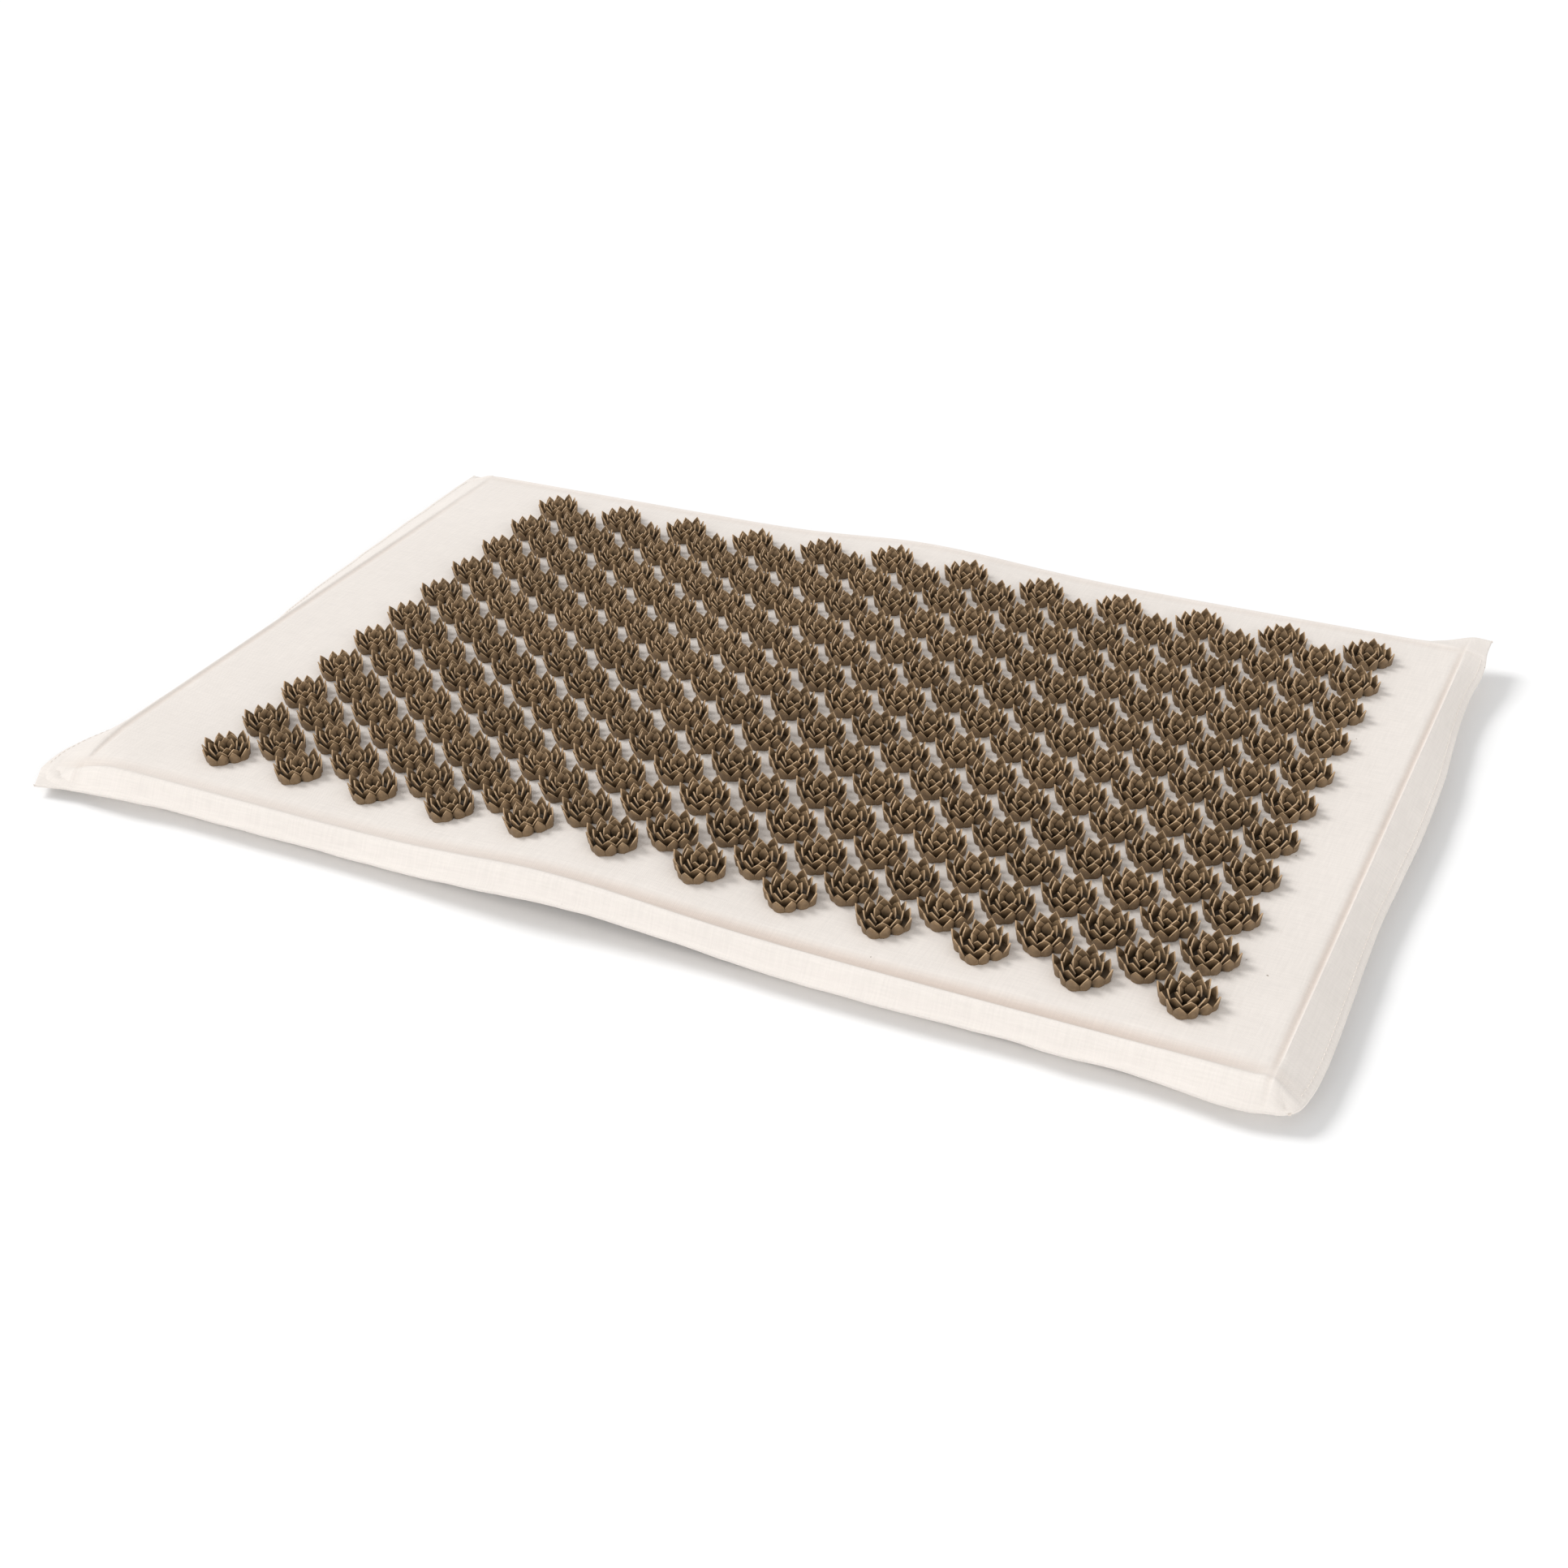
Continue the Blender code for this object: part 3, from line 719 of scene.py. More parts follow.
@dataclass(frozen=True)
class LotusDisc:
    """A disc of 28 petals: twelve in a scalloped wall, eight behind it and two rings of four in the middle.

    Attributes:
        face: Finish of the faces.
        rim: Finish of the cut edges, paler than the faces as a painted highlight.
        height: Height of the petals.
        wall: Thickness of every petal.
        plate: Thickness of the foot plate.
        sink: How far the plate reaches into the nap of the cloth.
        notch: Height at which neighbours of the outer wall part.
        axis_foot: Radius of the petals on the disc's two axes, at the foot.
        axis_tip: Radius of their tips.
        notch_foot: Radius of the grooves beside them.
        side_foot: Radius of the petals beside those.
        side_tip: Radius of their tips.
        cleft_foot: Radius of the grooves on the diagonals.
        notch_turn: Turn of the grooves from the axes.
        belly: How far up from its shoulder to its tip a petal has its middle row of points.
        wall_belly: Breadth of a petal of the wall there, as a share of the whole.
        ring_belly: The same for a petal of a ring inside.
        rings: The rings inside the wall.
    """

    face: bpy.types.Material
    rim: bpy.types.Material
    height: float = 0.0076
    wall: float = 0.0007
    plate: float = 0.0008
    sink: float = 0.0006
    notch: float = 0.0027
    axis_foot: float = 0.0147
    axis_tip: float = 0.0158
    notch_foot: float = 0.0134
    side_foot: float = 0.0132
    side_tip: float = 0.0142
    cleft_foot: float = 0.0106
    notch_turn: float = math.radians(15.5)
    belly: float = 0.5
    wall_belly: float = 0.66
    ring_belly: float = 0.61
    rings: tuple[InnerRing, ...] = (
        InnerRing(
            "second_ring", turn=math.pi / 8, count=8, foot=0.0093, tip=0.0105,
            half=0.0041, shoulder=0.0034, foot_share=0.92, bulge=0.0007,
        ),
        InnerRing(
            "third_ring", turn=math.pi / 4, count=4, foot=0.0056, tip=0.0068,
            half=0.0034, shoulder=0.0038, foot_share=0.70, bulge=0.0007,
        ),
        InnerRing(
            "fourth_ring", turn=0.0, count=4, foot=0.0033, tip=0.0051,
            half=0.0029, shoulder=0.0040, foot_share=0.70, bulge=0.0004,
        ),
    )

    def groove(self, radius: float, turn: float) -> Vector:
        """A point at the foot of the outer wall."""
        return Vector((radius * math.cos(turn), radius * math.sin(turn), 0))

    def ring(self, form: PetalForm, name: str, start: Vector, outward: float, count: int) -> bpy.types.Object:
        """Stand petals round the disc.

        Args:
            form: The petal.
            name: Name of the ring.
            start: Where the foot of its first petal stands.
            outward: The way that this petal faces, as a turn from +X.
            count: Petals in the ring.

        Returns:
            The ring as one object.
        """
        petal = form.build(name, self.face, self.rim)
        petal.rotation_euler = (0, 0, outward - math.pi / 2)
        petal.location = start
        settle(petal)
        bpy.ops.object.mode_set(mode="EDIT")
        bpy.ops.mesh.select_all(action="SELECT")
        turn = FULL_TURN * (count - 1) / count
        bpy.ops.mesh.spin(steps=count - 1, angle=turn, dupli=True, center=(0, 0, 0), axis=(0, 0, 1))
        bpy.ops.object.mode_set(mode="OBJECT")
        return petal

    def wall_ring(self, name: str, start: Vector, end: Vector, foot: float, tip: float) -> bpy.types.Object:
        """A ring of four petals of the outer wall, each between two grooves.

        Args:
            name: Name of the ring.
            start: The groove on the right of the first petal, seen from the middle.
            end: The groove on its left.
            foot: Radius of the petal's middle at the foot.
            tip: Radius of its tip.

        Returns:
            The ring.
        """
        middle = (start + end) / 2
        chord = end - start
        belly = self.notch + (self.height - self.notch) * self.belly
        form = PetalForm(
            half=chord.length / 2,
            heights=(0.0, self.notch, belly, self.height),
            shares=(1.0, 1.0, self.wall_belly, 0.0),
            bulge=foot - middle.length,
            lean=tip - foot,
            cells=4,
            wall=self.wall,
        )
        return self.ring(form, name, middle, math.atan2(-chord.x, chord.y), 4)

    def outer_wall(self) -> list[bpy.types.Object]:
        """The twelve petals of the outer wall, as three rings of four.

        Returns:
            The rings.
        """
        before = self.groove(self.notch_foot, -self.notch_turn)
        after = self.groove(self.notch_foot, self.notch_turn)
        cleft = self.groove(self.cleft_foot, math.pi / 4)
        low_cleft = self.groove(self.cleft_foot, -math.pi / 4)
        return [
            self.wall_ring("axis_petals", before, after, self.axis_foot, self.axis_tip),
            self.wall_ring("side_petals_after", after, cleft, self.side_foot, self.side_tip),
            self.wall_ring("side_petals_before", low_cleft, before, self.side_foot, self.side_tip),
        ]

    def inner_rings(self) -> list[bpy.types.Object]:
        """The petals inside the wall.

        Returns:
            The rings.
        """
        made = []
        for ring in self.rings:
            belly = ring.shoulder + (self.height - ring.shoulder) * self.belly
            form = PetalForm(
                half=ring.half,
                heights=(self.plate / 2, ring.shoulder, belly, self.height),
                shares=(ring.foot_share, 1.0, self.ring_belly, 0.0),
                bulge=ring.bulge,
                lean=ring.tip - ring.foot,
                cells=4 if ring.count == 8 else 2,
                wall=self.wall,
            )
            start = self.groove(ring.foot - ring.bulge, ring.turn)
            made.append(self.ring(form, ring.name, start, ring.turn, ring.count))
        return made

    def foot_plate(self) -> bpy.types.Object:
        """The plate under the petals, drawn out to follow the wall.

        Returns:
            The plate.
        """
        sides = 24
        depth = self.plate + self.sink
        middle = (self.plate - self.sink) / 2
        bpy.ops.mesh.primitive_cylinder_add(
            vertices=sides, radius=self.cleft_foot, depth=depth, location=(0, 0, middle)
        )
        plate = fresh("foot_plate")
        settle(plate)
        inset = self.wall / 2
        reaches = {0: self.axis_foot - inset, 15: self.notch_foot - inset, 30: self.side_foot - inset}
        for degrees, reach in reaches.items():

            def on_spoke(spot: Vector, degrees: float = degrees) -> bool:
                """Whether a corner lies that far from the nearest axis."""
                turned = math.degrees(math.atan2(spot.y, spot.x)) % 90
                return abs(min(turned, 90 - turned) - degrees) < 1

            pick_vertices(plate, on_spoke)
            factor = reach / self.cleft_foot
            bpy.ops.transform.resize(value=(factor, factor, 1), center_override=(0, 0, 0))
            bpy.ops.object.mode_set(mode="OBJECT")
        plate.data.materials.append(self.face)
        plate.data.materials.append(self.rim)
        return plate

    def build(self) -> bpy.types.Object:
        """Model the whole disc with the middle of its foot on the origin.

        Returns:
            The disc.
        """
        parts = [self.foot_plate(), *self.outer_wall(), *self.inner_rings()]
        disc = join(parts, "lotus_pattern")
        smooth(disc, 35)
        self.mark_rise(disc)
        return disc

    def mark_rise(self, disc: bpy.types.Object) -> None:
        """Store at every corner how far up the petals it lies, which the finish reads to paint shade at the
        foot and light at the tips.

        Outside the wall light reaches down to the foot, so nothing is dark there.

        Args:
            disc: The disc.
        """
        lean = 0.001
        fade = 0.0006
        outside_rise = 0.55
        rises = []
        for vertex in disc.data.vertices:
            share = vertex.co.z / self.height
            outside = ease((vertex.co.xy.length - self.cleft_foot - share * lean) / fade)
            rises.append(max(share, outside_rise * outside))
        rise = disc.data.attributes.new("rise", "FLOAT", "POINT")
        rise.data.foreach_set("value", rises)


@dataclass(frozen=True)
class LotusRows:
    """All the discs of the field, a piece for each row.

    Attributes:
        field: Where the discs stand.
        yaw: Greatest turn of a disc from its place in the moulded row.
        tilt: Greatest lean of a disc.
        tone_drift: How far the tone of a disc strays from the mean.
        seed: Start of the random numbers.
    """

    field: Field
    yaw: float = math.radians(1.8)
    tilt: float = math.radians(1.0)
    tone_drift: float = 0.08
    seed: int = 11

    def finishes(self) -> tuple[bpy.types.Material, bpy.types.Material]:
        """The plastic of the faces, and a paler one on the rims as a painted highlight of the cut edges."""
        brown, pale_brown = (0.213, 0.137, 0.071), (0.272, 0.180, 0.098)
        # The paler colours of the rims are a painted highlight where light catches the cut edges.
        tan, pale_tan = (0.435, 0.293, 0.166), (0.548, 0.374, 0.222)
        face = LotusPlastic("lotus_plastic_face", brown, pale_brown, shade=0.16, tip=1.15)
        rim = LotusPlastic("lotus_plastic_rim_highlight", tan, pale_tan, shade=0.20, tip=1.10)
        return face.make(), rim.make()

    def stand(self, spot: Vector, lift: Callable[[float, float], float], draw: random.Random) -> Matrix:
        """Place, slope and small turn of one disc.

        Args:
            spot: The middle of its foot on the flat cloth.
            lift: How far the cloth at a place stands above flat.
            draw: Source of its small turn and lean.

        Returns:
            The matrix that puts it there.
        """
        step = 0.005
        slope_x = (lift(spot.x + step, spot.y) - lift(spot.x - step, spot.y)) / (2 * step)
        slope_y = (lift(spot.x, spot.y + step) - lift(spot.x, spot.y - step)) / (2 * step)
        turn = Matrix.Rotation(draw.uniform(-self.yaw, self.yaw), 4, "Z")
        lean = Matrix.Rotation(draw.uniform(-self.tilt, self.tilt) + math.atan(slope_y), 4, "X")
        roll = Matrix.Rotation(draw.uniform(-self.tilt, self.tilt) - math.atan(slope_x), 4, "Y")
        raised = spot + Vector((0, 0, lift(spot.x, spot.y)))
        return Matrix.Translation(raised) @ roll @ lean @ turn

    def copies(
        self,
        pattern: bpy.types.Object,
        spots: Iterable[Vector],
        lift: Callable[[float, float], float],
        draw: random.Random,
    ) -> list[bpy.types.Object]:
        """Stand copies of the disc at the places of a row.

        Args:
            pattern: The disc.
            spots: The places.
            lift: How far the cloth at a place stands above flat.
            draw: Source of each disc's small turn, lean and tone.

        Returns:
            The copies, each with a mesh of its own.
        """
        made = []
        for spot in spots:
            copy = pattern.copy()
            copy.data = pattern.data.copy()
            bpy.context.scene.collection.objects.link(copy)
            copy.data.transform(self.stand(spot, lift, draw))
            tone = copy.data.attributes.new("tone", "FLOAT", "POINT")
            level = 1 + draw.uniform(-self.tone_drift, self.tone_drift)
            tone.data.foreach_set("value", [level] * len(copy.data.vertices))
            made.append(copy)
        return made

    def build(self, lift: Callable[[float, float], float]) -> list[bpy.types.Object]:
        """Build every row.

        Args:
            lift: How far the cloth at a place stands above its height in the frame.

        Returns:
            The pieces.
        """
        pattern = LotusDisc(*self.finishes()).build()
        draw = random.Random(self.seed)
        pieces = []
        for step in range(2 * self.field.rows - 1):
            between = step % 2 == 1
            row = step / 2
            count = self.field.columns - between
            spots = [self.field.place(column + between / 2, row) for column in range(count)]
            kind = "between_row" if between else "row"
            piece = join(self.copies(pattern, spots, lift, draw), f"lotus_{kind}_{int(row) + 1:02d}")
            replaced = () if between else self.field.nodes_of_row(int(row))
            pieces.append(deliver(piece, Body.MAT, Slot.LOTUS, *replaced))
        bpy.data.objects.remove(pattern)
        return pieces


# The cover


@dataclass(frozen=True)
class RimPoint:
    """How the sewn rim lies at one place along a side.

    Attributes:
        along: Place along the side, as its X or Y.
        reach: How far the edge stands out from the foam's face.
        height: Height of the seam over the mat's underside.
        trough: Depth of the shallow valley inside the crest.
    """

    along: float
    reach: float
    height: float
    trough: float


NEAR_RIM = (
    RimPoint(-0.3730, 0.0132, 0.0066, 0.0003),
    RimPoint(-0.3626, 0.0130, 0.0074, 0.0005),
    RimPoint(-0.3500, 0.0132, 0.0088, 0.0006),
    RimPoint(-0.3380, 0.0132, 0.0098, 0.0006),
    RimPoint(-0.3250, 0.0130, 0.0105, 0.0006),
    RimPoint(-0.3080, 0.0120, 0.0110, 0.0006),
    RimPoint(-0.2900, 0.0104, 0.0110, 0.0006),
    RimPoint(-0.2290, 0.0102, 0.0110, 0.0007),
    RimPoint(-0.1830, 0.0096, 0.0110, 0.0007),
    RimPoint(-0.1380, 0.0102, 0.0108, 0.0008),
    RimPoint(-0.0960, 0.0116, 0.0110, 0.0009),
    RimPoint(-0.0530, 0.0124, 0.0110, 0.0010),
    RimPoint(-0.0140, 0.0104, 0.0112, 0.0012),
    RimPoint(0.0260, 0.0092, 0.0112, 0.0014),
    RimPoint(0.0660, 0.0088, 0.0110, 0.0015),
    RimPoint(0.1050, 0.0103, 0.0110, 0.0016),
    RimPoint(0.1750, 0.0104, 0.0110, 0.0016),
    RimPoint(0.2340, 0.0090, 0.0110, 0.0017),
    RimPoint(0.2590, 0.0102, 0.0110, 0.0017),
    RimPoint(0.2830, 0.0090, 0.0110, 0.0016),
    RimPoint(0.3070, 0.0098, 0.0110, 0.0014),
    RimPoint(0.3310, 0.0124, 0.0108, 0.0012),
    RimPoint(0.3450, 0.0130, 0.0106, 0.0010),
    RimPoint(0.3550, 0.0118, 0.0104, 0.0007),
    RimPoint(0.3640, 0.0096, 0.0104, 0.0004),
)
RIGHT_RIM = (
    RimPoint(-0.2200, 0.0106, 0.0104, 0.0003),
    RimPoint(-0.2100, 0.0128, 0.0104, 0.0006),
    RimPoint(-0.1980, 0.0145, 0.0106, 0.0009),
    RimPoint(-0.1760, 0.0150, 0.0110, 0.0010),
    RimPoint(-0.1410, 0.0142, 0.0112, 0.0012),
    RimPoint(-0.1040, 0.0130, 0.0114, 0.0012),
    RimPoint(-0.0680, 0.0122, 0.0115, 0.0012),
    RimPoint(-0.0260, 0.0134, 0.0118, 0.0012),
    RimPoint(0.0180, 0.0146, 0.0120, 0.0012),
    RimPoint(0.0580, 0.0142, 0.0120, 0.0012),
    RimPoint(0.0840, 0.0134, 0.0120, 0.0012),
    RimPoint(0.1080, 0.0116, 0.0120, 0.0012),
    RimPoint(0.1280, 0.0102, 0.0121, 0.0012),
    RimPoint(0.1520, 0.0090, 0.0123, 0.0011),
    RimPoint(0.1760, 0.0090, 0.0134, 0.0009),
    RimPoint(0.1950, 0.0106, 0.0150, 0.0008),
    RimPoint(0.2080, 0.0106, 0.0168, 0.0006),
    RimPoint(0.2200, 0.0090, 0.0190, 0.0004),
)
FAR_RIM = (
    RimPoint(-0.3700, 0.0105, 0.0136, 0.0003),
    RimPoint(-0.3600, 0.0062, 0.0118, 0.0003),
    RimPoint(-0.3450, 0.0038, 0.0106, 0.0004),
    RimPoint(-0.3200, 0.0034, 0.0104, 0.0004),
    RimPoint(-0.2800, 0.0046, 0.0112, 0.0004),
    RimPoint(0.0000, 0.0050, 0.0113, 0.0004),
    RimPoint(0.2800, 0.0050, 0.0113, 0.0004),
    RimPoint(0.3050, 0.0080, 0.0125, 0.0004),
    RimPoint(0.3250, 0.0105, 0.0145, 0.0004),
    RimPoint(0.3450, 0.0150, 0.0170, 0.0004),
    RimPoint(0.3640, 0.0210, 0.0200, 0.0003),
)
LEFT_RIM = (
    RimPoint(-0.2280, 0.0250, 0.0060, 0.0003),
    RimPoint(-0.2155, 0.0290, 0.0070, 0.0003),
    RimPoint(-0.2000, 0.0295, 0.0080, 0.0005),
    RimPoint(-0.1850, 0.0262, 0.0086, 0.0006),
    RimPoint(-0.1740, 0.0212, 0.0092, 0.0008),
    RimPoint(-0.1620, 0.0160, 0.0100, 0.0008),
    RimPoint(-0.1480, 0.0138, 0.0110, 0.0008),
    RimPoint(-0.1290, 0.0132, 0.0112, 0.0008),
    RimPoint(-0.1000, 0.0112, 0.0112, 0.0008),
    RimPoint(-0.0600, 0.0104, 0.0112, 0.0008),
    RimPoint(-0.0200, 0.0132, 0.0114, 0.0008),
    RimPoint(0.0130, 0.0168, 0.0122, 0.0008),
    RimPoint(0.0400, 0.0182, 0.0126, 0.0008),
    RimPoint(0.0850, 0.0196, 0.0132, 0.0008),
    RimPoint(0.1380, 0.0212, 0.0136, 0.0006),
    RimPoint(0.1800, 0.0218, 0.0140, 0.0004),
    RimPoint(0.2100, 0.0226, 0.0142, 0.0003),
)


@dataclass(frozen=True)
class Side:
    """One side of the cover.

    Attributes:
        crest: How far its crest stands out from the foam's face.
        straight: How straight its slope falls, from 0 to 1.
        band: Width of the valley inside the crest, where 1 is 13.5 mm.
        phase: Where the small waves of its seam start.
        points: The places that its rim goes through.
    """

    crest: float
    straight: float
    band: float
    phase: float
    points: tuple[RimPoint, ...]

    def at(self, along: float) -> RimPoint:
        """Read the rim at any place, on a smooth curve through its points.

        Args:
            along: The place along the side.

        Returns:
            The rim there.
        """
        points = self.points
        spots = [point.along for point in points]
        held = min(max(along, spots[0]), spots[-1])
        index = min(max(np.searchsorted(spots, held, side="right") - 1, 0), len(points) - 2)
        a, b, c, d = (points[min(max(index + step, 0), len(points) - 1)] for step in (-1, 0, 1, 2))
        span = c.along - b.along
        share = (held - b.along) / span
        before = max(b.along - a.along, span)
        after = max(d.along - c.along, span)
        values = []
        for name in ("reach", "height", "trough"):
            first, start, end, last = (getattr(point, name) for point in (a, b, c, d))
            slope_in = (end - first) / (before + span) * span
            slope_out = (last - start) / (after + span) * span
            bend = (1 - share) ** 2 * share * slope_in - (1 - share) * share**2 * slope_out
            values.append(start + (end - start) * ease(share) + bend)
        return RimPoint(held, *values)

    def ripple(self, along: float) -> float:
        """Small uneven waves of the seam.

        Args:
            along: The place along the side.

        Returns:
            The wave, about -1 to 1.
        """
        waves = ((0.0470, 0.5), (0.0290, 0.3), (0.0173, 0.2))
        return sum(
            share * math.sin(FULL_TURN * along / length + self.phase / share) for length, share in waves
        )


SIDES = {
    SideName.NEAR: Side(crest=0.0012, straight=0.1, band=0.9, phase=0.4, points=NEAR_RIM),
    SideName.RIGHT: Side(crest=-0.0018, straight=0.9, band=0.42, phase=1.9, points=RIGHT_RIM),
    SideName.FAR: Side(crest=0.0015, straight=0.3, band=0.7, phase=3.1, points=FAR_RIM),
    SideName.LEFT: Side(crest=-0.0012, straight=0.6, band=0.5, phase=4.4, points=LEFT_RIM),
}


@functools.lru_cache(maxsize=None)
def rim_at(side: SideName, along: float) -> RimPoint:
    """The rim of a side at a place along it."""
    return SIDES[side].at(along)


@dataclass(frozen=True)
class Swell:
    """A soft rise of the mat, or a sinking where its height is below zero, seen from above.

    Attributes:
        middle: X and Y of its middle.
        left: Distance to the left at which it has fallen to about a third.
        right: The same to the right.
        reach: The same along Y.
        height: Its height.
        slant: How far its line runs to the right for each length along Y.
    """

    middle: tuple[float, float]
    left: float
    right: float
    reach: float
    height: float
    slant: float = 0.0

    def lift(self, x: float, y: float) -> float:
        """How far it lifts the mat at a place.

        Args:
            x: The place.
            y: The place.

        Returns:
            The lift.
        """
        along = y - self.middle[1]
        across = x - self.middle[0] - self.slant * along
        width = self.left if across < 0 else self.right
        return self.height * bell(across, width) * bell(along, self.reach)


@dataclass(frozen=True)
class Fold:
    """A soft ridge or valley along a line in the cloth, seen from above.

    Attributes:
        start: One end of the line.
        end: The other end.
        width: Distance from the line at which it has fallen to about a third.
        height: Its height, which is below zero for a valley.
    """

    start: tuple[float, float]
    end: tuple[float, float]
    width: float
    height: float

    def lift(self, x: float, y: float) -> float:
        """How far the fold lifts the cloth at a place.

        Args:
            x: The place.
            y: The place.

        Returns:
            The lift.
        """
        run = (self.end[0] - self.start[0], self.end[1] - self.start[1])
        length = run[0] ** 2 + run[1] ** 2
        share = ((x - self.start[0]) * run[0] + (y - self.start[1]) * run[1]) / length
        held = min(1.0, max(0.0, share))
        apart = math.hypot(x - self.start[0] - held * run[0], y - self.start[1] - held * run[1])
        return self.height * bell(apart, self.width)


@dataclass(frozen=True)
class TipPull:
    """How far the tip of a corner is drawn from where its two sides would meet.

    Attributes:
        x_side: -1 at the left and 1 at the right.
        y_side: -1 at the near side and 1 at the far side.
        shift: How far it is drawn along X and Y.
        roundness: 0 where it is pointed and 1 where it is a quarter of an ellipse.
    """

    x_side: int
    y_side: int
    shift: tuple[float, float]
    roundness: float = 0.0


@dataclass(frozen=True)
class Relief:
    """The unevenness of the whole mat.

    Attributes:
        swells: Rises of foam and cover together.
        slumps: Places where the top has sunk.
        folds: Folds of the upper panel.
        tips: How the corners are drawn.
    """

    swells: tuple[Swell, ...]
    slumps: tuple[Swell, ...]
    folds: tuple[Fold, ...]
    tips: tuple[TipPull, ...]

    def lift(self, x: float, y: float) -> float:
        """How far the whole mat is lifted at a place."""
        return sum(swell.lift(x, y) for swell in self.swells)

    def slump(self, x: float, y: float) -> float:
        """How far the top has sunk at a place, as a number below zero."""
        return sum(slump.lift(x, y) for slump in self.slumps)

    def fold(self, x: float, y: float) -> float:
        """How far the folds lift the upper panel at a place."""
        return sum(fold.lift(x, y) for fold in self.folds)


@dataclass(frozen=True)
class Station:
    """One grid line of a panel.

    Attributes:
        side: -1 on the left or near half, and 1 on the right or far half.
        place: Where the line runs while the cloth lies flat.
        inside: Its distance inside the crest.
        share: How far out on the slope it lies, from 0 at the crest to 1 at the edge.
        lip: How far it has turned over the edge.
    """

    side: int
    place: float
    inside: float
    share: float
    lip: float


@dataclass(frozen=True)
class CoverForm:
    """The form of the cover over the foam, from the crest above the foam's edge out to the seam.

    Attributes:
        cell: Size of the mesh over the flat of a panel.
        cloth: Thickness of the cloth.
        crest_rise: How far the crest stands above the flat.
        usual_reach: Reach of a seam at which the slope's grid lines are evenly laid.
        inner_steps: Distances inside the crest at which the cloth is cut, outermost first.
        slope_shares: Shares of the way from crest to edge at which the upper panel is cut.
        drop_shares: How far it has fallen at each of them, as a share of the whole fall.
        tuck_reaches: Reach of the lower panel at the same cuts, where it lies against the foam.
        tuck_heights: Its height there.
        flange_leave: Share of the way at which the lower panel leaves the foam.
        flange_start: Share of the way at which the two panels start to lie together.
        lip_radius: Radius of the turned edge.
        lip_turns: How far the edge has turned at each of its grid lines, in degrees.
        hem_half: Half of the opening between the hems at the zip.
        hem_taper: Length over which the hems close beside the zip.
        hem_blend: Length over which they turn into a seam.
        hem_radius: Radius of the fold over the foam's far edge.
        hem_face: How far the hems stand out from the foam's face.
        corner_power: How square the slopes meet at a corner.
        settle: Distance inside the crest at which the cloth lies where it was cut.
        zip_hold: Distance from the far crest over which the zip keeps the lower panel from rising.
        wave: Height of the small waves of a seam.
        wave_turn: Angle of the sine along a slope at its seam: the waves are highest a little before it.
        seam_power: How sharply a corner changes from the height of one seam to that of the other.
        valley_wall: Width of the valley's outer wall.
        valley_floor: Distance inside the crest at which its floor ends.
        valley_back: Width of its inner slope.
        crest_fade: Width of the crest's own rise.
        crease_depth: Depth of a valley that is a full crease, where the cloth's painted shade is darkest.
    """

    cell: float = 0.006
    cloth: float = 0.0009
    crest_rise: float = 0.0002
    usual_reach: float = 0.011
    inner_steps: tuple[float, ...] = (
        0.0006, 0.0013, 0.0022, 0.0034, 0.0048, 0.0066, 0.0088, 0.0115, 0.015, 0.020
    )
    slope_shares: tuple[float, ...] = (0.0, 0.09, 0.19, 0.30, 0.41, 0.52, 0.62, 0.71, 0.80, 0.90, 1.0)
    drop_shares: tuple[float, ...] = (0.0, 0.03, 0.11, 0.24, 0.40, 0.57, 0.72, 0.83, 0.905, 0.96, 1.0)
    tuck_reaches: tuple[float, ...] = (-0.0036, -0.002, -0.0006, 0.0006, 0.0014, 0.0017, 0.0018)
    tuck_heights: tuple[float, ...] = (0.0, 0.0005, 0.0014, 0.0029, 0.0046, 0.0062, 0.0074)
    flange_leave: float = 0.5
    flange_start: float = 0.71
    lip_radius: float = 0.0006
    lip_turns: tuple[float, ...] = (50, 100, 150)
    hem_half: float = 0.0056
    hem_taper: float = 0.012
    hem_blend: float = 0.014
    hem_radius: float = 0.0030
    hem_face: float = 0.0038
    corner_power: float = 2.2
    settle: float = 0.05
    zip_hold: float = 0.045
    wave: float = 0.00045
    wave_turn: float = 2.4
    seam_power: int = 4
    valley_wall: float = 0.0036
    valley_floor: float = 0.0050
    valley_back: float = 0.0085
    crest_fade: float = 0.002
    crease_depth: float = 0.0017


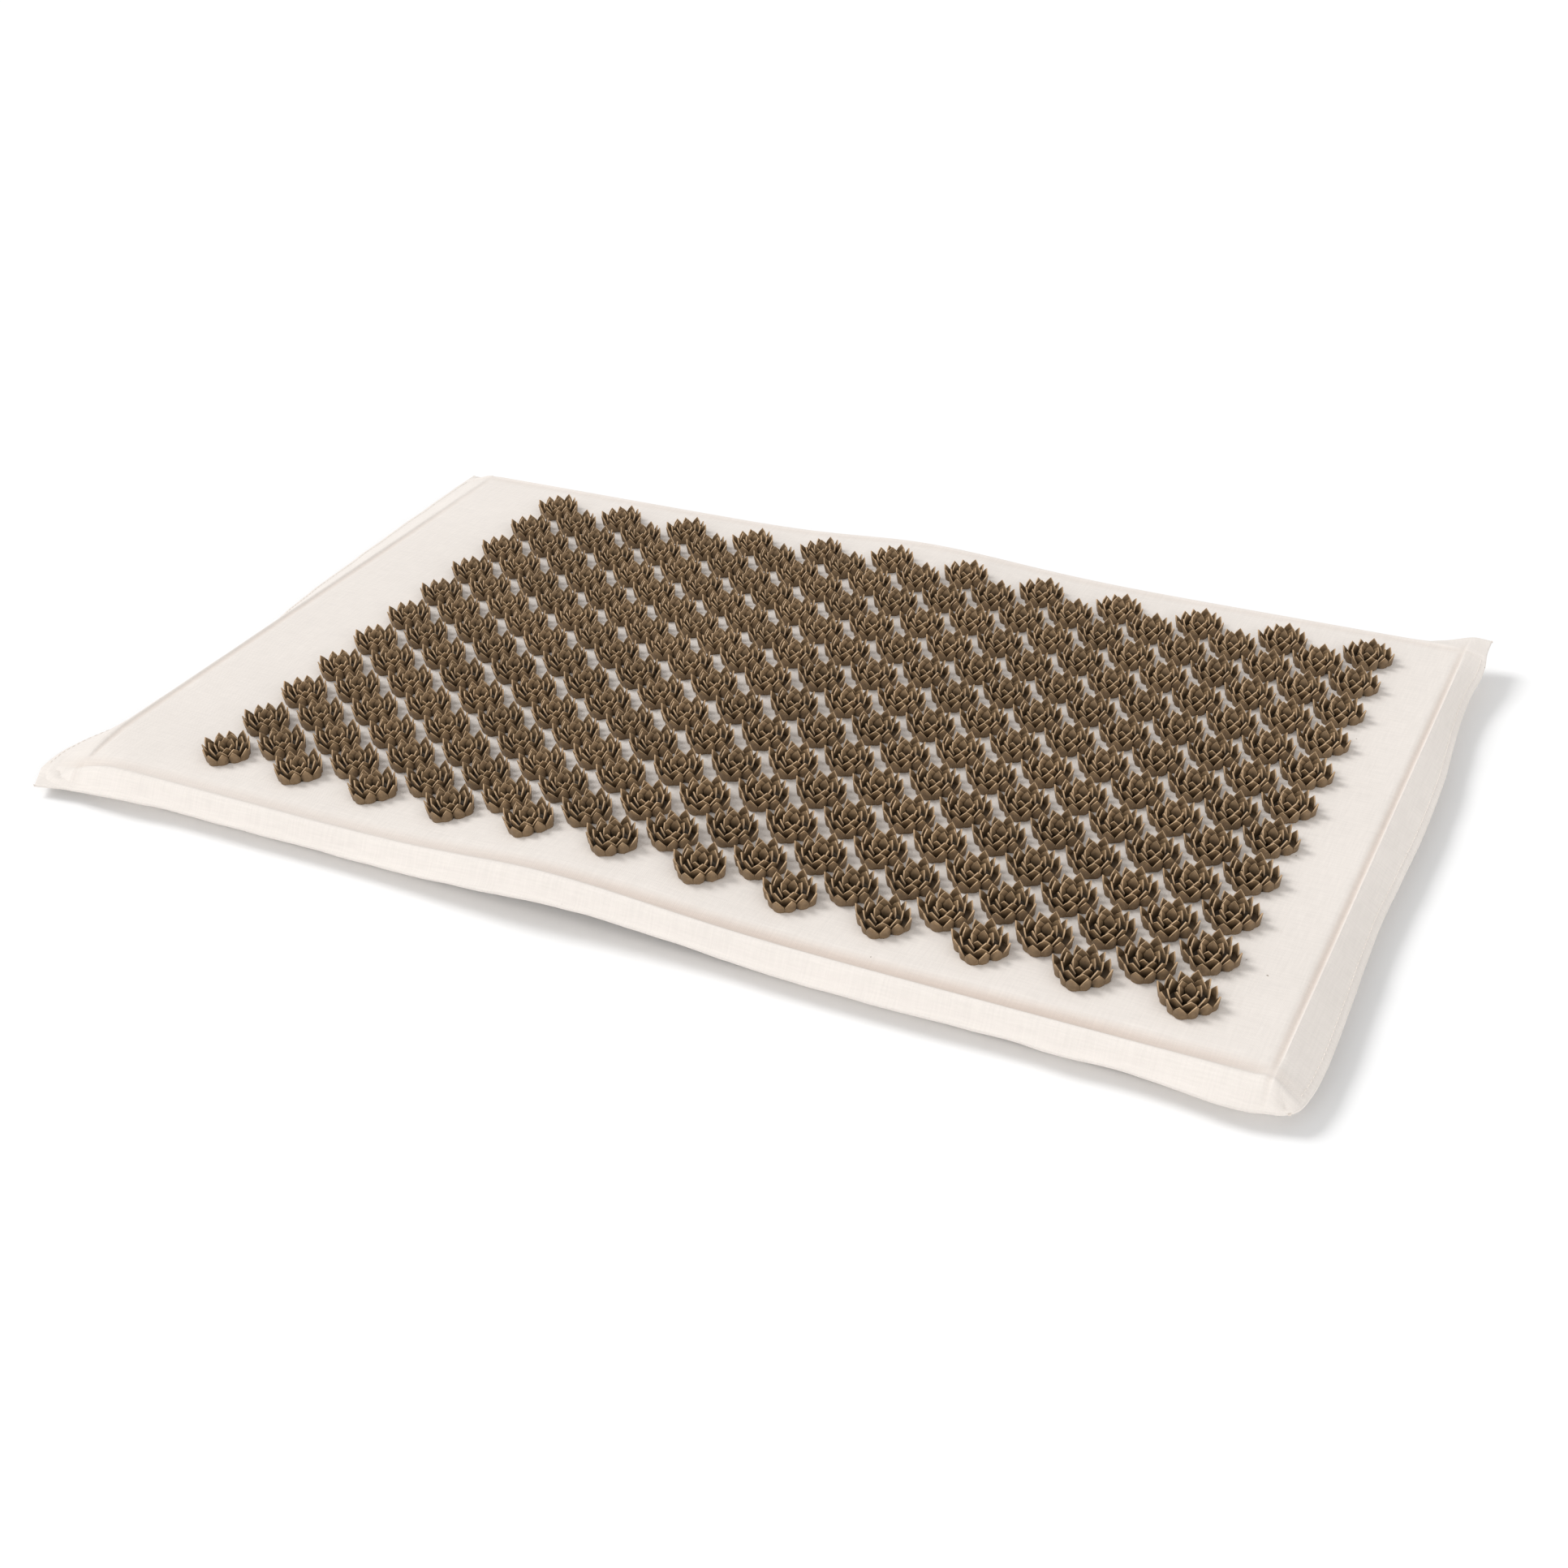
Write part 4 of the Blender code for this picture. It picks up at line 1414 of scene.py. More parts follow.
@dataclass(frozen=True)
class Cover:
    """The sewn cover, stretched over the foam of the frame.

    Attributes:
        form: Sizes of its form.
        relief: Its unevenness.
        lining_gap: Gap between foam and cloth.
        base_cloth: Thickness of the cloth in the frame.
    """

    form: CoverForm
    relief: Relief
    lining_gap: float = 0.0003
    base_cloth: float = 0.001

    @functools.cached_property
    def foam(self) -> Vector:
        """Half of the foam's length and depth, and the height of its top."""
        low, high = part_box("foam_core")
        return Vector((high.x, high.y, high.z))

    @functools.cached_property
    def flat_top(self) -> float:
        """Height of the flat of the upper panel."""
        return self.foam.z + self.lining_gap + self.base_cloth

    @functools.cached_property
    def zip_height(self) -> float:
        """Height of the middle of the zip."""
        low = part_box("zip_tape_lower")[0]
        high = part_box("zip_tape_upper")[1]
        return (low.z + high.z) / 2

    @functools.cached_property
    def tape_end(self) -> float:
        """Where the opening for the zip ends, as its X."""
        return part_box("zip_tape_upper")[1].x

    def lift(self, x: float, y: float) -> float:
        """How far the cloth under a disc stands above flat."""
        return self.relief.lift(x, y) + self.relief.slump(x, y)

    def stations(self, half: float) -> list[Station]:
        """The grid lines across a panel, from one seam to the other.

        Args:
            half: Distance from the middle to the foam's face.

        Returns:
            The lines.
        """
        form = self.form
        usual = form.usual_reach
        right = [Station(1, half - step, step, 0.0, 0.0) for step in reversed(form.inner_steps)]
        right += [Station(1, half + usual * share, 0.0, share, 0.0) for share in form.slope_shares]
        right += [Station(1, half + usual, 0.0, 1.0, math.radians(turn)) for turn in form.lip_turns]
        left = [Station(-1, -s.place, s.inside, s.share, s.lip) for s in reversed(right)]
        flat_half = right[0].place
        count = round(2 * flat_half / form.cell)
        flat = []
        for step in range(1, count):
            place = -flat_half + 2 * flat_half * step / count
            flat.append(Station(1 if place > 0 else -1, place, half - abs(place), 0.0, 0.0))
        return left + flat + right

    def hem_share(self, x: float) -> float:
        """How much of the far side's form is the zip's hem rather than a seam."""
        return 1 - ease((abs(x) - self.tape_end) / self.form.hem_blend)

    def hem_half(self, x: float) -> float:
        """Half of the opening between the two hems at a place along the zip."""
        form = self.form
        return form.hem_half * min(1.0, max(0.0, (self.tape_end - abs(x)) / form.hem_taper))

    def fall(self, share: float) -> float:
        """How far the upper panel has fallen on its way out, as a share of its whole fall."""
        return float(np.interp(share, self.form.slope_shares, self.form.drop_shares))

    def tuck(self, share: float) -> tuple[float, float]:
        """Reach and height of the lower panel against the foam.

        Args:
            share: How far out it lies, from 0 to 1.

        Returns:
            Its reach and its height.
        """
        form = self.form
        cuts = form.slope_shares[: len(form.tuck_reaches)]
        reach, height = (np.interp(share, cuts, row) for row in (form.tuck_reaches, form.tuck_heights))
        return float(reach), float(height)

    def together(self, share: float) -> float:
        """How far the lower panel has left the foam for the upper one at a share of the way out."""
        form = self.form
        return ease((share - form.flange_leave) / (form.flange_start - form.flange_leave))

    def level(self, panel: Panel, share: float, straight: float, height: float, lip: float) -> float:
        """Height of a panel at a share of the way out.

        Args:
            panel: Which panel.
            share: How far out it lies, from 0 to 1.
            straight: How straight the slope falls there.
            height: Height of the seam.
            lip: How far it has turned over the edge.

        Returns:
            Its height over the mat's underside.
        """
        form = self.form
        fallen = self.fall(share)
        fallen += (share - fallen) * straight
        over = self.flat_top - (self.flat_top - height - form.cloth) * fallen
        turned = form.lip_radius * (1 - math.cos(lip))
        if panel is Panel.TOP:
            return over - turned
        tucked = self.tuck(share)[1]
        return tucked + (over - 2 * form.cloth - tucked) * self.together(share) + turned

    def out(self, panel: Panel, side: Side, rim: RimPoint, station: Station, share: float) -> float:
        """Reach of a panel beyond the foam's face at a grid line.

        Args:
            panel: Which panel.
            side: The side that the line runs along.
            rim: How the side lies there.
            station: The grid line.
            share: How far out the point lies, with both of its grid lines taken together.

        Returns:
            The reach.
        """
        over = side.crest + station.share * (rim.reach - side.crest)
        over += self.form.lip_radius * math.sin(station.lip)
        if panel is Panel.TOP:
            return over
        tucked = self.tuck(station.share)[0]
        return tucked + (over - tucked) * self.together(share)

    def seat(self, station: Station, half: float, reach: float) -> float:
        """Where a grid line runs, on the slope or on the flat inside its crest.

        Args:
            station: The grid line.
            half: Distance from the middle to the foam's face.
            reach: Its reach beyond that face.

        Returns:
            Its X or Y.
        """
        if station.share > 0:
            return station.side * (half + reach)
        drawn = 1 - ease(station.inside / self.form.settle)
        return station.place + station.side * reach * drawn

    def hem(self, panel: Panel, station: Station, half: float) -> tuple[float, float]:
        """The section of a panel at the zip, where it folds down the far face to its hem.

        Args:
            panel: Which panel.
            station: The grid line that runs along the side.
            half: Half of the opening between the hems.

        Returns:
            Its reach beyond the foam's face, and its height.
        """
        form = self.form
        way = panel.value
        flat = self.flat_top if panel is Panel.TOP else 0.0
        fold = form.hem_radius
        edge = self.zip_height + way * (half + form.lip_radius)
        first = math.asin((SIDES[SideName.FAR].crest - form.hem_face + fold) / fold)
        arc = fold * (math.pi / 2 - first)
        straight = abs(flat - way * fold - edge)
        run = station.share * (arc + straight)
        if run < arc:
            turn = first + run / fold
            reach = form.hem_face - fold + fold * math.sin(turn)
            height = flat - way * fold * (1 - math.cos(turn))
        else:
            reach = form.hem_face
            height = flat - way * (fold + run - arc)
        reach -= form.lip_radius * (1 - math.cos(station.lip))
        return reach, height - way * form.lip_radius * math.sin(station.lip)

    def valley(self, trough: float, inside: float, band: float) -> float:
        """Depth of the cloth below its flat at a distance inside the crest.

        Args:
            trough: The valley's greatest depth.
            inside: The distance.
            band: Width of the valley, where 1 is 13.5 mm.

        Returns:
            The depth, which is below zero at the crest.
        """
        form = self.form
        wall = ease(inside / (form.valley_wall * band))
        back = 1 - ease((inside / band - form.valley_floor) / form.valley_back)
        return trough * wall * back - form.crest_rise * (1 - ease(inside / form.crest_fade))

    def spot(self, panel: Panel, column: Station, row: Station) -> tuple[Vector, float]:
        """Where a point of a panel lies.

        Args:
            panel: Which panel.
            column: Its grid line along Y.
            row: Its grid line along X.

        Returns:
            The point, and how much of a crease it lies in, which sets the cloth's painted shade.
        """
        side_x = SideName.RIGHT if column.side > 0 else SideName.LEFT
        side_y = SideName.FAR if row.side > 0 else SideName.NEAR
        rim_x = rim_at(side_x, row.place)
        rim_y = rim_at(side_y, column.place)
        form = self.form
        held = self.hem_share(column.place) if side_y is SideName.FAR else 0.0
        hem = held if row.share > 0 else 0.0
        power = form.corner_power
        share = min(1.0, (column.share**power + row.share**power) ** (1 / power))
        x = self.seat(column, self.foam.x, self.out(panel, SIDES[side_x], rim_x, column, share))
        y = self.seat(row, self.foam.y, self.out(panel, SIDES[side_y], rim_y, row, share))
        if column.share > 0 and row.share > 0:
            x, y = self.corner(column, row, x, y)
        pull_x, pull_y = column.share**form.seam_power, row.share**form.seam_power
        pull = max(pull_x + pull_y, 1e-12)
        height = (pull_x * rim_x.height + pull_y * rim_y.height) / pull
        straight = (pull_x * SIDES[side_x].straight + pull_y * SIDES[side_y].straight) / pull
        z = self.level(panel, share, straight, height, max(column.lip, row.lip))
        if hem > 0:
            reach, hem_z = self.hem(panel, row, self.hem_half(column.place))
            y += (self.foam.y + reach - y) * hem
            z += (hem_z - z) * hem
        crease = 0.0
        if panel is Panel.TOP:
            depth, crease = self.dip(column, row, rim_x, rim_y)
            z += self.relief.slump(x, y) * (1 - share) + self.relief.fold(x, y) - depth
        wave_x = SIDES[side_x].ripple(row.place) * math.sin(form.wave_turn * column.share)
        wave_y = SIDES[side_y].ripple(column.place) * math.sin(form.wave_turn * row.share)
        z += form.wave * (wave_x * (1 - row.share) + wave_y * (1 - column.share) * (1 - hem))
        away = row.share if panel is Panel.TOP else 1 - row.inside / form.zip_hold
        z = max(z, 0.0) + self.relief.lift(x, y) * (1 - held * ease(away))
        return Vector((x, y, z)), crease

    def corner(self, column: Station, row: Station, x: float, y: float) -> tuple[float, float]:
        """Round a corner or draw out its tip.

        Args:
            column: The grid line along Y.
            row: The grid line along X.
            x: Where the point would lie.
            y: Where the point would lie.

        Returns:
            Its X and Y.
        """
        for tip in self.relief.tips:
            if (tip.x_side, tip.y_side) == (column.side, row.side):
                square = max(column.share, row.share) / math.hypot(column.share, row.share)
                kept = 1 - tip.roundness * (1 - square)
                foam_x, foam_y = column.side * self.foam.x, row.side * self.foam.y
                pull = column.share * row.share
                x = foam_x + (x - foam_x) * kept + tip.shift[0] * pull
                y = foam_y + (y - foam_y) * kept + tip.shift[1] * pull
        return x, y

    def dip(self, column: Station, row: Station, rim_x: RimPoint, rim_y: RimPoint) -> tuple[float, float]:
        """The shallow valley that runs round the top inside its crest.

        Args:
            column: The grid line along Y.
            row: The grid line along X.
            rim_x: The rim at the left or right side.
            rim_y: The rim at the near or far side.

        Returns:
            How far the cloth lies below its flat, and how much of a crease it lies in, which sets the cloth's
            painted shade.
        """
        side_x = SIDES[SideName.RIGHT if column.side > 0 else SideName.LEFT]
        side_y = SIDES[SideName.FAR if row.side > 0 else SideName.NEAR]
        deep_x = self.valley(rim_x.trough, column.inside, side_x.band) * (1 - row.share)
        deep_y = self.valley(rim_y.trough, row.inside, side_y.band) * (1 - column.share)
        depth = max(deep_x, deep_y) if max(deep_x, deep_y) > 0 else min(deep_x, deep_y)
        return depth, min(1.0, max(0.0, deep_x, deep_y) / self.form.crease_depth)

    def build_panel(self, panel: Panel, name: str, finish: bpy.types.Material) -> bpy.types.Object:
        """Lay a grid of cloth over the form of one panel and thicken it inwards.

        Args:
            panel: Which panel.
            name: Name of the piece.
            finish: Its cloth.

        Returns:
            The panel.
        """
        columns = self.stations(self.foam.x)
        rows = self.stations(self.foam.y)
        bpy.ops.mesh.primitive_grid_add(x_subdivisions=len(columns) - 1, y_subdivisions=len(rows) - 1, size=1)
        cloth = fresh(name)
        spots = np.zeros((len(rows), len(columns), 3))
        creases = np.zeros((len(rows), len(columns)))
        for j, row in enumerate(rows):
            for i, column in enumerate(columns):
                spots[j, i], creases[j, i] = self.spot(panel, column, row)
        across = np.linalg.norm(np.diff(spots, axis=1), axis=2)
        along = np.linalg.norm(np.diff(spots, axis=0), axis=2)
        flat_u = np.concatenate([np.zeros((len(rows), 1)), np.cumsum(across, axis=1)], axis=1)
        flat_v = np.concatenate([np.zeros((1, len(columns))), np.cumsum(along, axis=0)], axis=0)
        flat_u -= flat_u[:, len(columns) // 2][:, None]
        flat_v -= flat_v[len(rows) // 2][None, :]
        self.lay(cloth, spots, creases, np.stack([flat_u, flat_v], axis=2))
        if panel is Panel.BOTTOM:
            activate(cloth)
            bpy.ops.object.mode_set(mode="EDIT")
            bpy.ops.mesh.select_all(action="SELECT")
            bpy.ops.mesh.flip_normals()
            bpy.ops.object.mode_set(mode="OBJECT")
        wall = cloth.modifiers.new("thickness", "SOLIDIFY")
        wall.thickness = self.form.cloth
        wall.offset = -1
        apply_modifiers(cloth)
        smooth(cloth, 60)
        wear(cloth, finish)
        return cloth

    def lay(self, cloth: bpy.types.Object, spots: np.ndarray, creases: np.ndarray, flat: np.ndarray) -> None:
        """Move the points of a grid to their places and unroll its UV map.

        Args:
            cloth: The grid.
            spots: A place for each point, by row and column.
            creases: How much of a crease each one lies in, which the finish paints as shade.
            flat: Where it lies in the flat cloth.
        """
        mesh = cloth.data
        rows, columns = creases.shape
        old = np.empty(len(mesh.vertices) * 3)
        mesh.vertices.foreach_get("co", old)
        old = old.reshape(-1, 3)
        i = np.rint((old[:, 0] + 0.5) * (columns - 1)).astype(int)
        j = np.rint((old[:, 1] + 0.5) * (rows - 1)).astype(int)
        mesh.vertices.foreach_set("co", spots[j, i].ravel())
        # The crease attribute masks the painted shade in the valley inside the crest.
        crease = mesh.attributes.new("crease", "FLOAT", "POINT")
        crease.data.foreach_set("value", creases[j, i])
        corners = np.empty(len(mesh.loops), dtype=int)
        mesh.loops.foreach_get("vertex_index", corners)
        mesh.uv_layers[0].data.foreach_set("uv", flat[j, i][corners].ravel())
        mesh.update()

    def build(self) -> list[bpy.types.Object]:
        """Build both panels.

        Returns:
            The pieces.
        """
        finish = CottonCanvas("cotton_canvas").make()
        top = self.build_panel(Panel.TOP, "cover_top", finish)
        bottom = self.build_panel(Panel.BOTTOM, "cover_bottom", finish)
        deliver(top, Body.MAT, Slot.COTTON, "cover_top_panel")
        deliver(bottom, Body.MAT, Slot.COTTON, "cover_bottom_panel")
        return [top, bottom]


@dataclass(frozen=True)
class Stitching:
    """Rows of topstitches beside both short seams, and along both hems of the zip.

    Attributes:
        cover: The cover that they hold.
        pitch: Distance from stitch to stitch.
        length: Length of a stitch.
        thread: Thickness of the thread.
        shoulder: Where a stitch turns down into the cloth, as a share of its length from the middle.
        end_size: Size of its ends, and how deep they go, as a share of the thread.
        stand: How far its middle line stands off the cloth, as a share of the thread.
        seam_inset: Distance of a row from a short side's edge.
        seam_end: How far before the corners a row ends.
        hem_share: How far down its hem a row lies, from 0 to 1.
    """

    cover: Cover
    pitch: float = 0.0034
    length: float = 0.0027
    thread: float = 0.0005
    shoulder: float = 0.3
    end_size: float = 0.55
    stand: float = 0.2
    seam_inset: float = 0.0027
    seam_end: float = 0.004
    hem_share: float = 0.72

    def stitch(self) -> bpy.types.Object:
        """Model one stitch along X, whose two ends go down into the cloth.

        Returns:
            The stitch.
        """
        turn = (0, math.pi / 2, 0)
        radius = self.thread / 2
        bpy.ops.mesh.primitive_cylinder_add(vertices=6, radius=radius, depth=self.length, rotation=turn)
        stitch = fresh("stitch")
        settle(stitch)
        activate(stitch)
        bpy.ops.object.mode_set(mode="EDIT")
        for share in (-self.shoulder, self.shoulder):
            bpy.ops.mesh.select_all(action="SELECT")
            bpy.ops.mesh.bisect(plane_co=(share * self.length, 0, 0), plane_no=(1, 0, 0))
        bpy.ops.object.mode_set(mode="OBJECT")
        pick_vertices(stitch, lambda spot: abs(spot.x) > 0.45 * self.length)
        bpy.ops.transform.resize(value=(1, self.end_size, self.end_size), center_override=(0, 0, 0))
        bpy.ops.transform.translate(value=(0, 0, -self.thread * self.end_size))
        bpy.ops.object.mode_set(mode="OBJECT")
        return stitch

    def sew(
        self, pattern: bpy.types.Object, name: str, panel: Panel, spots: Sequence[Vector]
    ) -> bpy.types.Object:
        """Lay stitches along a line of points on the cloth.

        Args:
            pattern: One stitch.
            name: Name of the row.
            panel: The panel that they show on.
            spots: Where a stitch starts and ends, in turn.

        Returns:
            The row.
        """
        made = []
        for start, end in zip(spots[::2], spots[1::2]):
            way = (end - start).normalized()
            up = way.cross(Vector((0, 0, 1))).cross(way).normalized() * panel.value
            across = up.cross(way)
            turn = Matrix((way, across, up)).transposed().to_4x4()
            copy = pattern.copy()
            copy.data = pattern.data.copy()
            bpy.context.scene.collection.objects.link(copy)
            middle = (start + end) / 2 + up * self.thread * self.stand
            copy.data.transform(Matrix.Translation(middle) @ turn)
            made.append(copy)
        return join(made, name)

    def places(self, half: float) -> list[float]:
        """Where stitches start and end along a row, in turn.

        Args:
            half: Half of the row's length.

        Returns:
            The places, from end to end.
        """
        count = round(2 * half / self.pitch)
        spots = []
        for index in range(count):
            middle = -half + (index + 0.5) * 2 * half / count
            spots += [middle - self.length / 2, middle + self.length / 2]
        return spots

    def seam_row(self, panel: Panel, side: int) -> list[Vector]:
        """Points of a row beside a short side's seam.

        Args:
            panel: The panel.
            side: -1 on the left and 1 on the right.

        Returns:
            The points.
        """
        cover = self.cover
        name = SideName.RIGHT if side > 0 else SideName.LEFT
        spots = []
        for y in self.places(cover.foam.y - self.seam_end):
            width = rim_at(name, y).reach - SIDES[name].crest
            column = Station(side, side * cover.foam.x, 0.0, 1 - self.seam_inset / width, 0.0)
            row = Station(1 if y > 0 else -1, y, cover.foam.y - abs(y), 0.0, 0.0)
            spots.append(cover.spot(panel, column, row)[0])
        return spots

    def hem_row(self, panel: Panel) -> list[Vector]:
        """Points of a row along a hem of the zip.

        Args:
            panel: The panel.

        Returns:
            The points.
        """
        cover = self.cover
        row = Station(1, cover.foam.y, 0.0, self.hem_share, 0.0)
        spots = []
        for x in self.places(cover.tape_end - self.seam_end):
            column = Station(1 if x > 0 else -1, x, cover.foam.x - abs(x), 0.0, 0.0)
            spots.append(cover.spot(panel, column, row)[0])
        return spots

    def build(self) -> list[bpy.types.Object]:
        """Sew every row.

        Returns:
            The pieces.
        """
        thread = Clouded("cream_thread", (0.80, 0.74, 0.68), 0.7, scale=900, grain=9000).make()
        pattern = self.stitch()
        levels = {Panel.TOP: "upper", Panel.BOTTOM: "lower"}
        rows = {
            f"{end}_topstitch_{level}": (panel, self.seam_row(panel, side))
            for end, side in (("left", -1), ("right", 1))
            for panel, level in levels.items()
        }
        for panel, level in levels.items():
            rows[f"zip_hem_stitch_{level}"] = (panel, self.hem_row(panel))
        pieces = []
        for name, (panel, spots) in rows.items():
            piece = self.sew(pattern, name, panel, spots)
            smooth(piece, 50)
            wear(piece, thread)
            pieces.append(deliver(piece, Body.MAT, Slot.COTTON))
        bpy.data.objects.remove(pattern)
        return pieces


@dataclass(frozen=True)
class FoamSlab:
    """The foam inside the cover, which rises and sinks with it.

    Attributes:
        relief: The unevenness of the mat.
        corner: Radius of its upright edges.
        edge: Width of the rounding along its top and underside.
        cuts: Rows of faces along its length and depth.
    """

    relief: Relief
    corner: float = 0.014
    edge: float = 0.0068
    cuts: tuple[int, int] = (36, 18)

    def build(self) -> bpy.types.Object:
        """Model the slab and bend it.

        Returns:
            The piece.
        """
        low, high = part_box("foam_core")
        bpy.ops.mesh.primitive_cube_add(size=1, location=(low + high) / 2, scale=high - low)
        slab = fresh("foam_slab")
        settle(slab)
        bpy.ops.object.mode_set(mode="EDIT")
        bpy.ops.mesh.select_mode(type="EDGE")
        bpy.ops.object.mode_set(mode="OBJECT")
        corners = slab.data.vertices
        for edge in slab.data.edges:
            first, last = (corners[index].co for index in edge.vertices)
            edge.select = abs(first.z - last.z) > abs(first.x - last.x) + abs(first.y - last.y)
        bpy.ops.object.mode_set(mode="EDIT")
        bpy.ops.mesh.bevel(offset=self.corner, segments=5, affect="EDGES")
        bpy.ops.mesh.select_all(action="SELECT")
        bpy.ops.object.mode_set(mode="OBJECT")
        rounding = slab.modifiers.new("rounding", "BEVEL")
        rounding.width = self.edge
        rounding.segments = 4
        rounding.limit_method = "ANGLE"
        rounding.angle_limit = math.radians(60)
        apply_modifiers(slab)
        self.slice(slab, low, high)
        points = np.empty(len(slab.data.vertices) * 3)
        slab.data.vertices.foreach_get("co", points)
        points = points.reshape(-1, 3)
        for point in points:
            level = (point[2] - low.z) / (high.z - low.z)
            x, y = point[:2]
            point[2] += self.relief.lift(x, y) + self.relief.slump(x, y) * level
        slab.data.vertices.foreach_set("co", points.ravel())
        slab.data.update()
        smooth(slab, 40)
        finish = Clouded("open_cell_foam", (0.80, 0.72, 0.52), 0.9, scale=60, grain=1500, depth=0.0004)
        wear(slab, finish.make())
        return deliver(slab, Body.MAT, Slot.FOAM, "foam_core")

    def slice(self, slab: bpy.types.Object, low: Vector, high: Vector) -> None:
        """Cut the slab into strips both ways, so that it can bend.

        Args:
            slab: The slab.
            low: Its lowest corner.
            high: Its highest corner.
        """
        activate(slab)
        bpy.ops.object.mode_set(mode="EDIT")
        for axis, count in enumerate(self.cuts):
            way = Vector((0, 0, 0))
            way[axis] = 1
            for step in range(1, count):
                place = low.lerp(high, step / count)
                bpy.ops.mesh.select_all(action="SELECT")
                bpy.ops.mesh.bisect(plane_co=place, plane_no=way)
        bpy.ops.object.mode_set(mode="OBJECT")


# The studio


@dataclass(frozen=True)
class Camera:
    """The view of the photograph.

    Attributes:
        spot: Where it stands.
        lens: Focal length in millimetres on the 36 mm sensor.
        elevation: How far it looks down.
        azimuth: How far it is turned about the mat.
        roll: How far it is rolled.
        shift: How far the frame lies off the lens's axis, as shares of its width.
    """

    spot: tuple[float, float, float] = (0.5034, -0.9029, 0.6241)
    lens: float = 45.494
    elevation: float = math.radians(32.75)
    azimuth: float = math.radians(27.05)
    roll: float = math.radians(-2.45)
    shift: tuple[float, float] = (-0.0430, 0.0020)

    def place(self) -> None:
        """Set the scene's camera."""
        data = bpy.data.cameras.new("photo_view")
        data.lens = self.lens
        data.sensor_width = 36
        data.shift_x, data.shift_y = self.shift
        camera = bpy.data.objects.new("photo_view", data)
        turn = Matrix.Rotation(self.azimuth, 4, "Z") @ Matrix.Rotation(math.pi / 2 - self.elevation, 4, "X")
        camera.matrix_world = Matrix.Translation(self.spot) @ turn @ Matrix.Rotation(self.roll, 4, "Z")
        bpy.context.scene.collection.objects.link(camera)
        bpy.context.scene.camera = camera


@dataclass(frozen=True)
class Softbox:
    """A wide soft lamp, so far off that it lights the whole floor alike.

    Attributes:
        name: Name of the lamp.
        azimuth: Its direction from the mat, in degrees from +X.
        elevation: Its height above the floor, in degrees.
        spread: The angle that it fills, in degrees.
        strength: Its strength.
    """

    name: str
    azimuth: float
    elevation: float
    spread: float
    strength: float

    def place(self) -> None:
        """Hang the lamp."""
        data = bpy.data.lights.new(self.name, "SUN")
        data.angle = math.radians(self.spread)
        data.energy = self.strength
        lamp = bpy.data.objects.new(self.name, data)
        turn = math.radians(self.azimuth)
        rise = math.radians(self.elevation)
        way = Vector((math.cos(turn) * math.cos(rise), math.sin(turn) * math.cos(rise), math.sin(rise)))
        lamp.location = way * 2
        lamp.rotation_euler = way.to_track_quat("Z", "Y").to_euler()
        bpy.context.scene.collection.objects.link(lamp)


@dataclass(frozen=True)
class Studio:
    """A pale floor, soft light from all round and three soft lamps.

    Attributes:
        camera: The view of the photograph.
        lamps: The lamps.
        sky: Brightness of the light from all round.
        floor_half: Half of the floor's width.
        floor_gap: How far the floor lies under the mat.
    """

    camera: Camera
    lamps: tuple[Softbox, ...]
    sky: float
    floor_half: float = 7.0
    floor_gap: float = 0.0004

    def lay_floor(self) -> None:
        """Lay the floor under the mat."""
        bpy.ops.mesh.primitive_plane_add(size=2 * self.floor_half, location=(0, 0, -self.floor_gap))
        floor = fresh("floor")
        settle(floor)
        graph = Graph("floor_white")
        place = graph.own_place()
        colour = graph.blend(graph.noise(place, 3, 2), (0.94, 0.94, 0.94), (0.96, 0.96, 0.96))
        wear(floor, graph.finish(colour, 0.9, specular_ior_level=0.1))

    def build(self) -> None:
        """Set up camera, light and floor."""
        self.camera.place()
        for lamp in self.lamps:
            lamp.place()
        world = bpy.data.worlds.new("soft_surround")
        world.use_nodes = True
        world.node_tree.nodes["Background"].inputs["Color"].default_value = (1.0, 1.0, 1.0, 1.0)
        world.node_tree.nodes["Background"].inputs["Strength"].default_value = self.sky
        bpy.context.scene.world = world
        bpy.context.scene.view_settings.view_transform = "Standard"
        self.lay_floor()
        LOG.info("studio: %d lamps and a floor", len(self.lamps))


# The whole


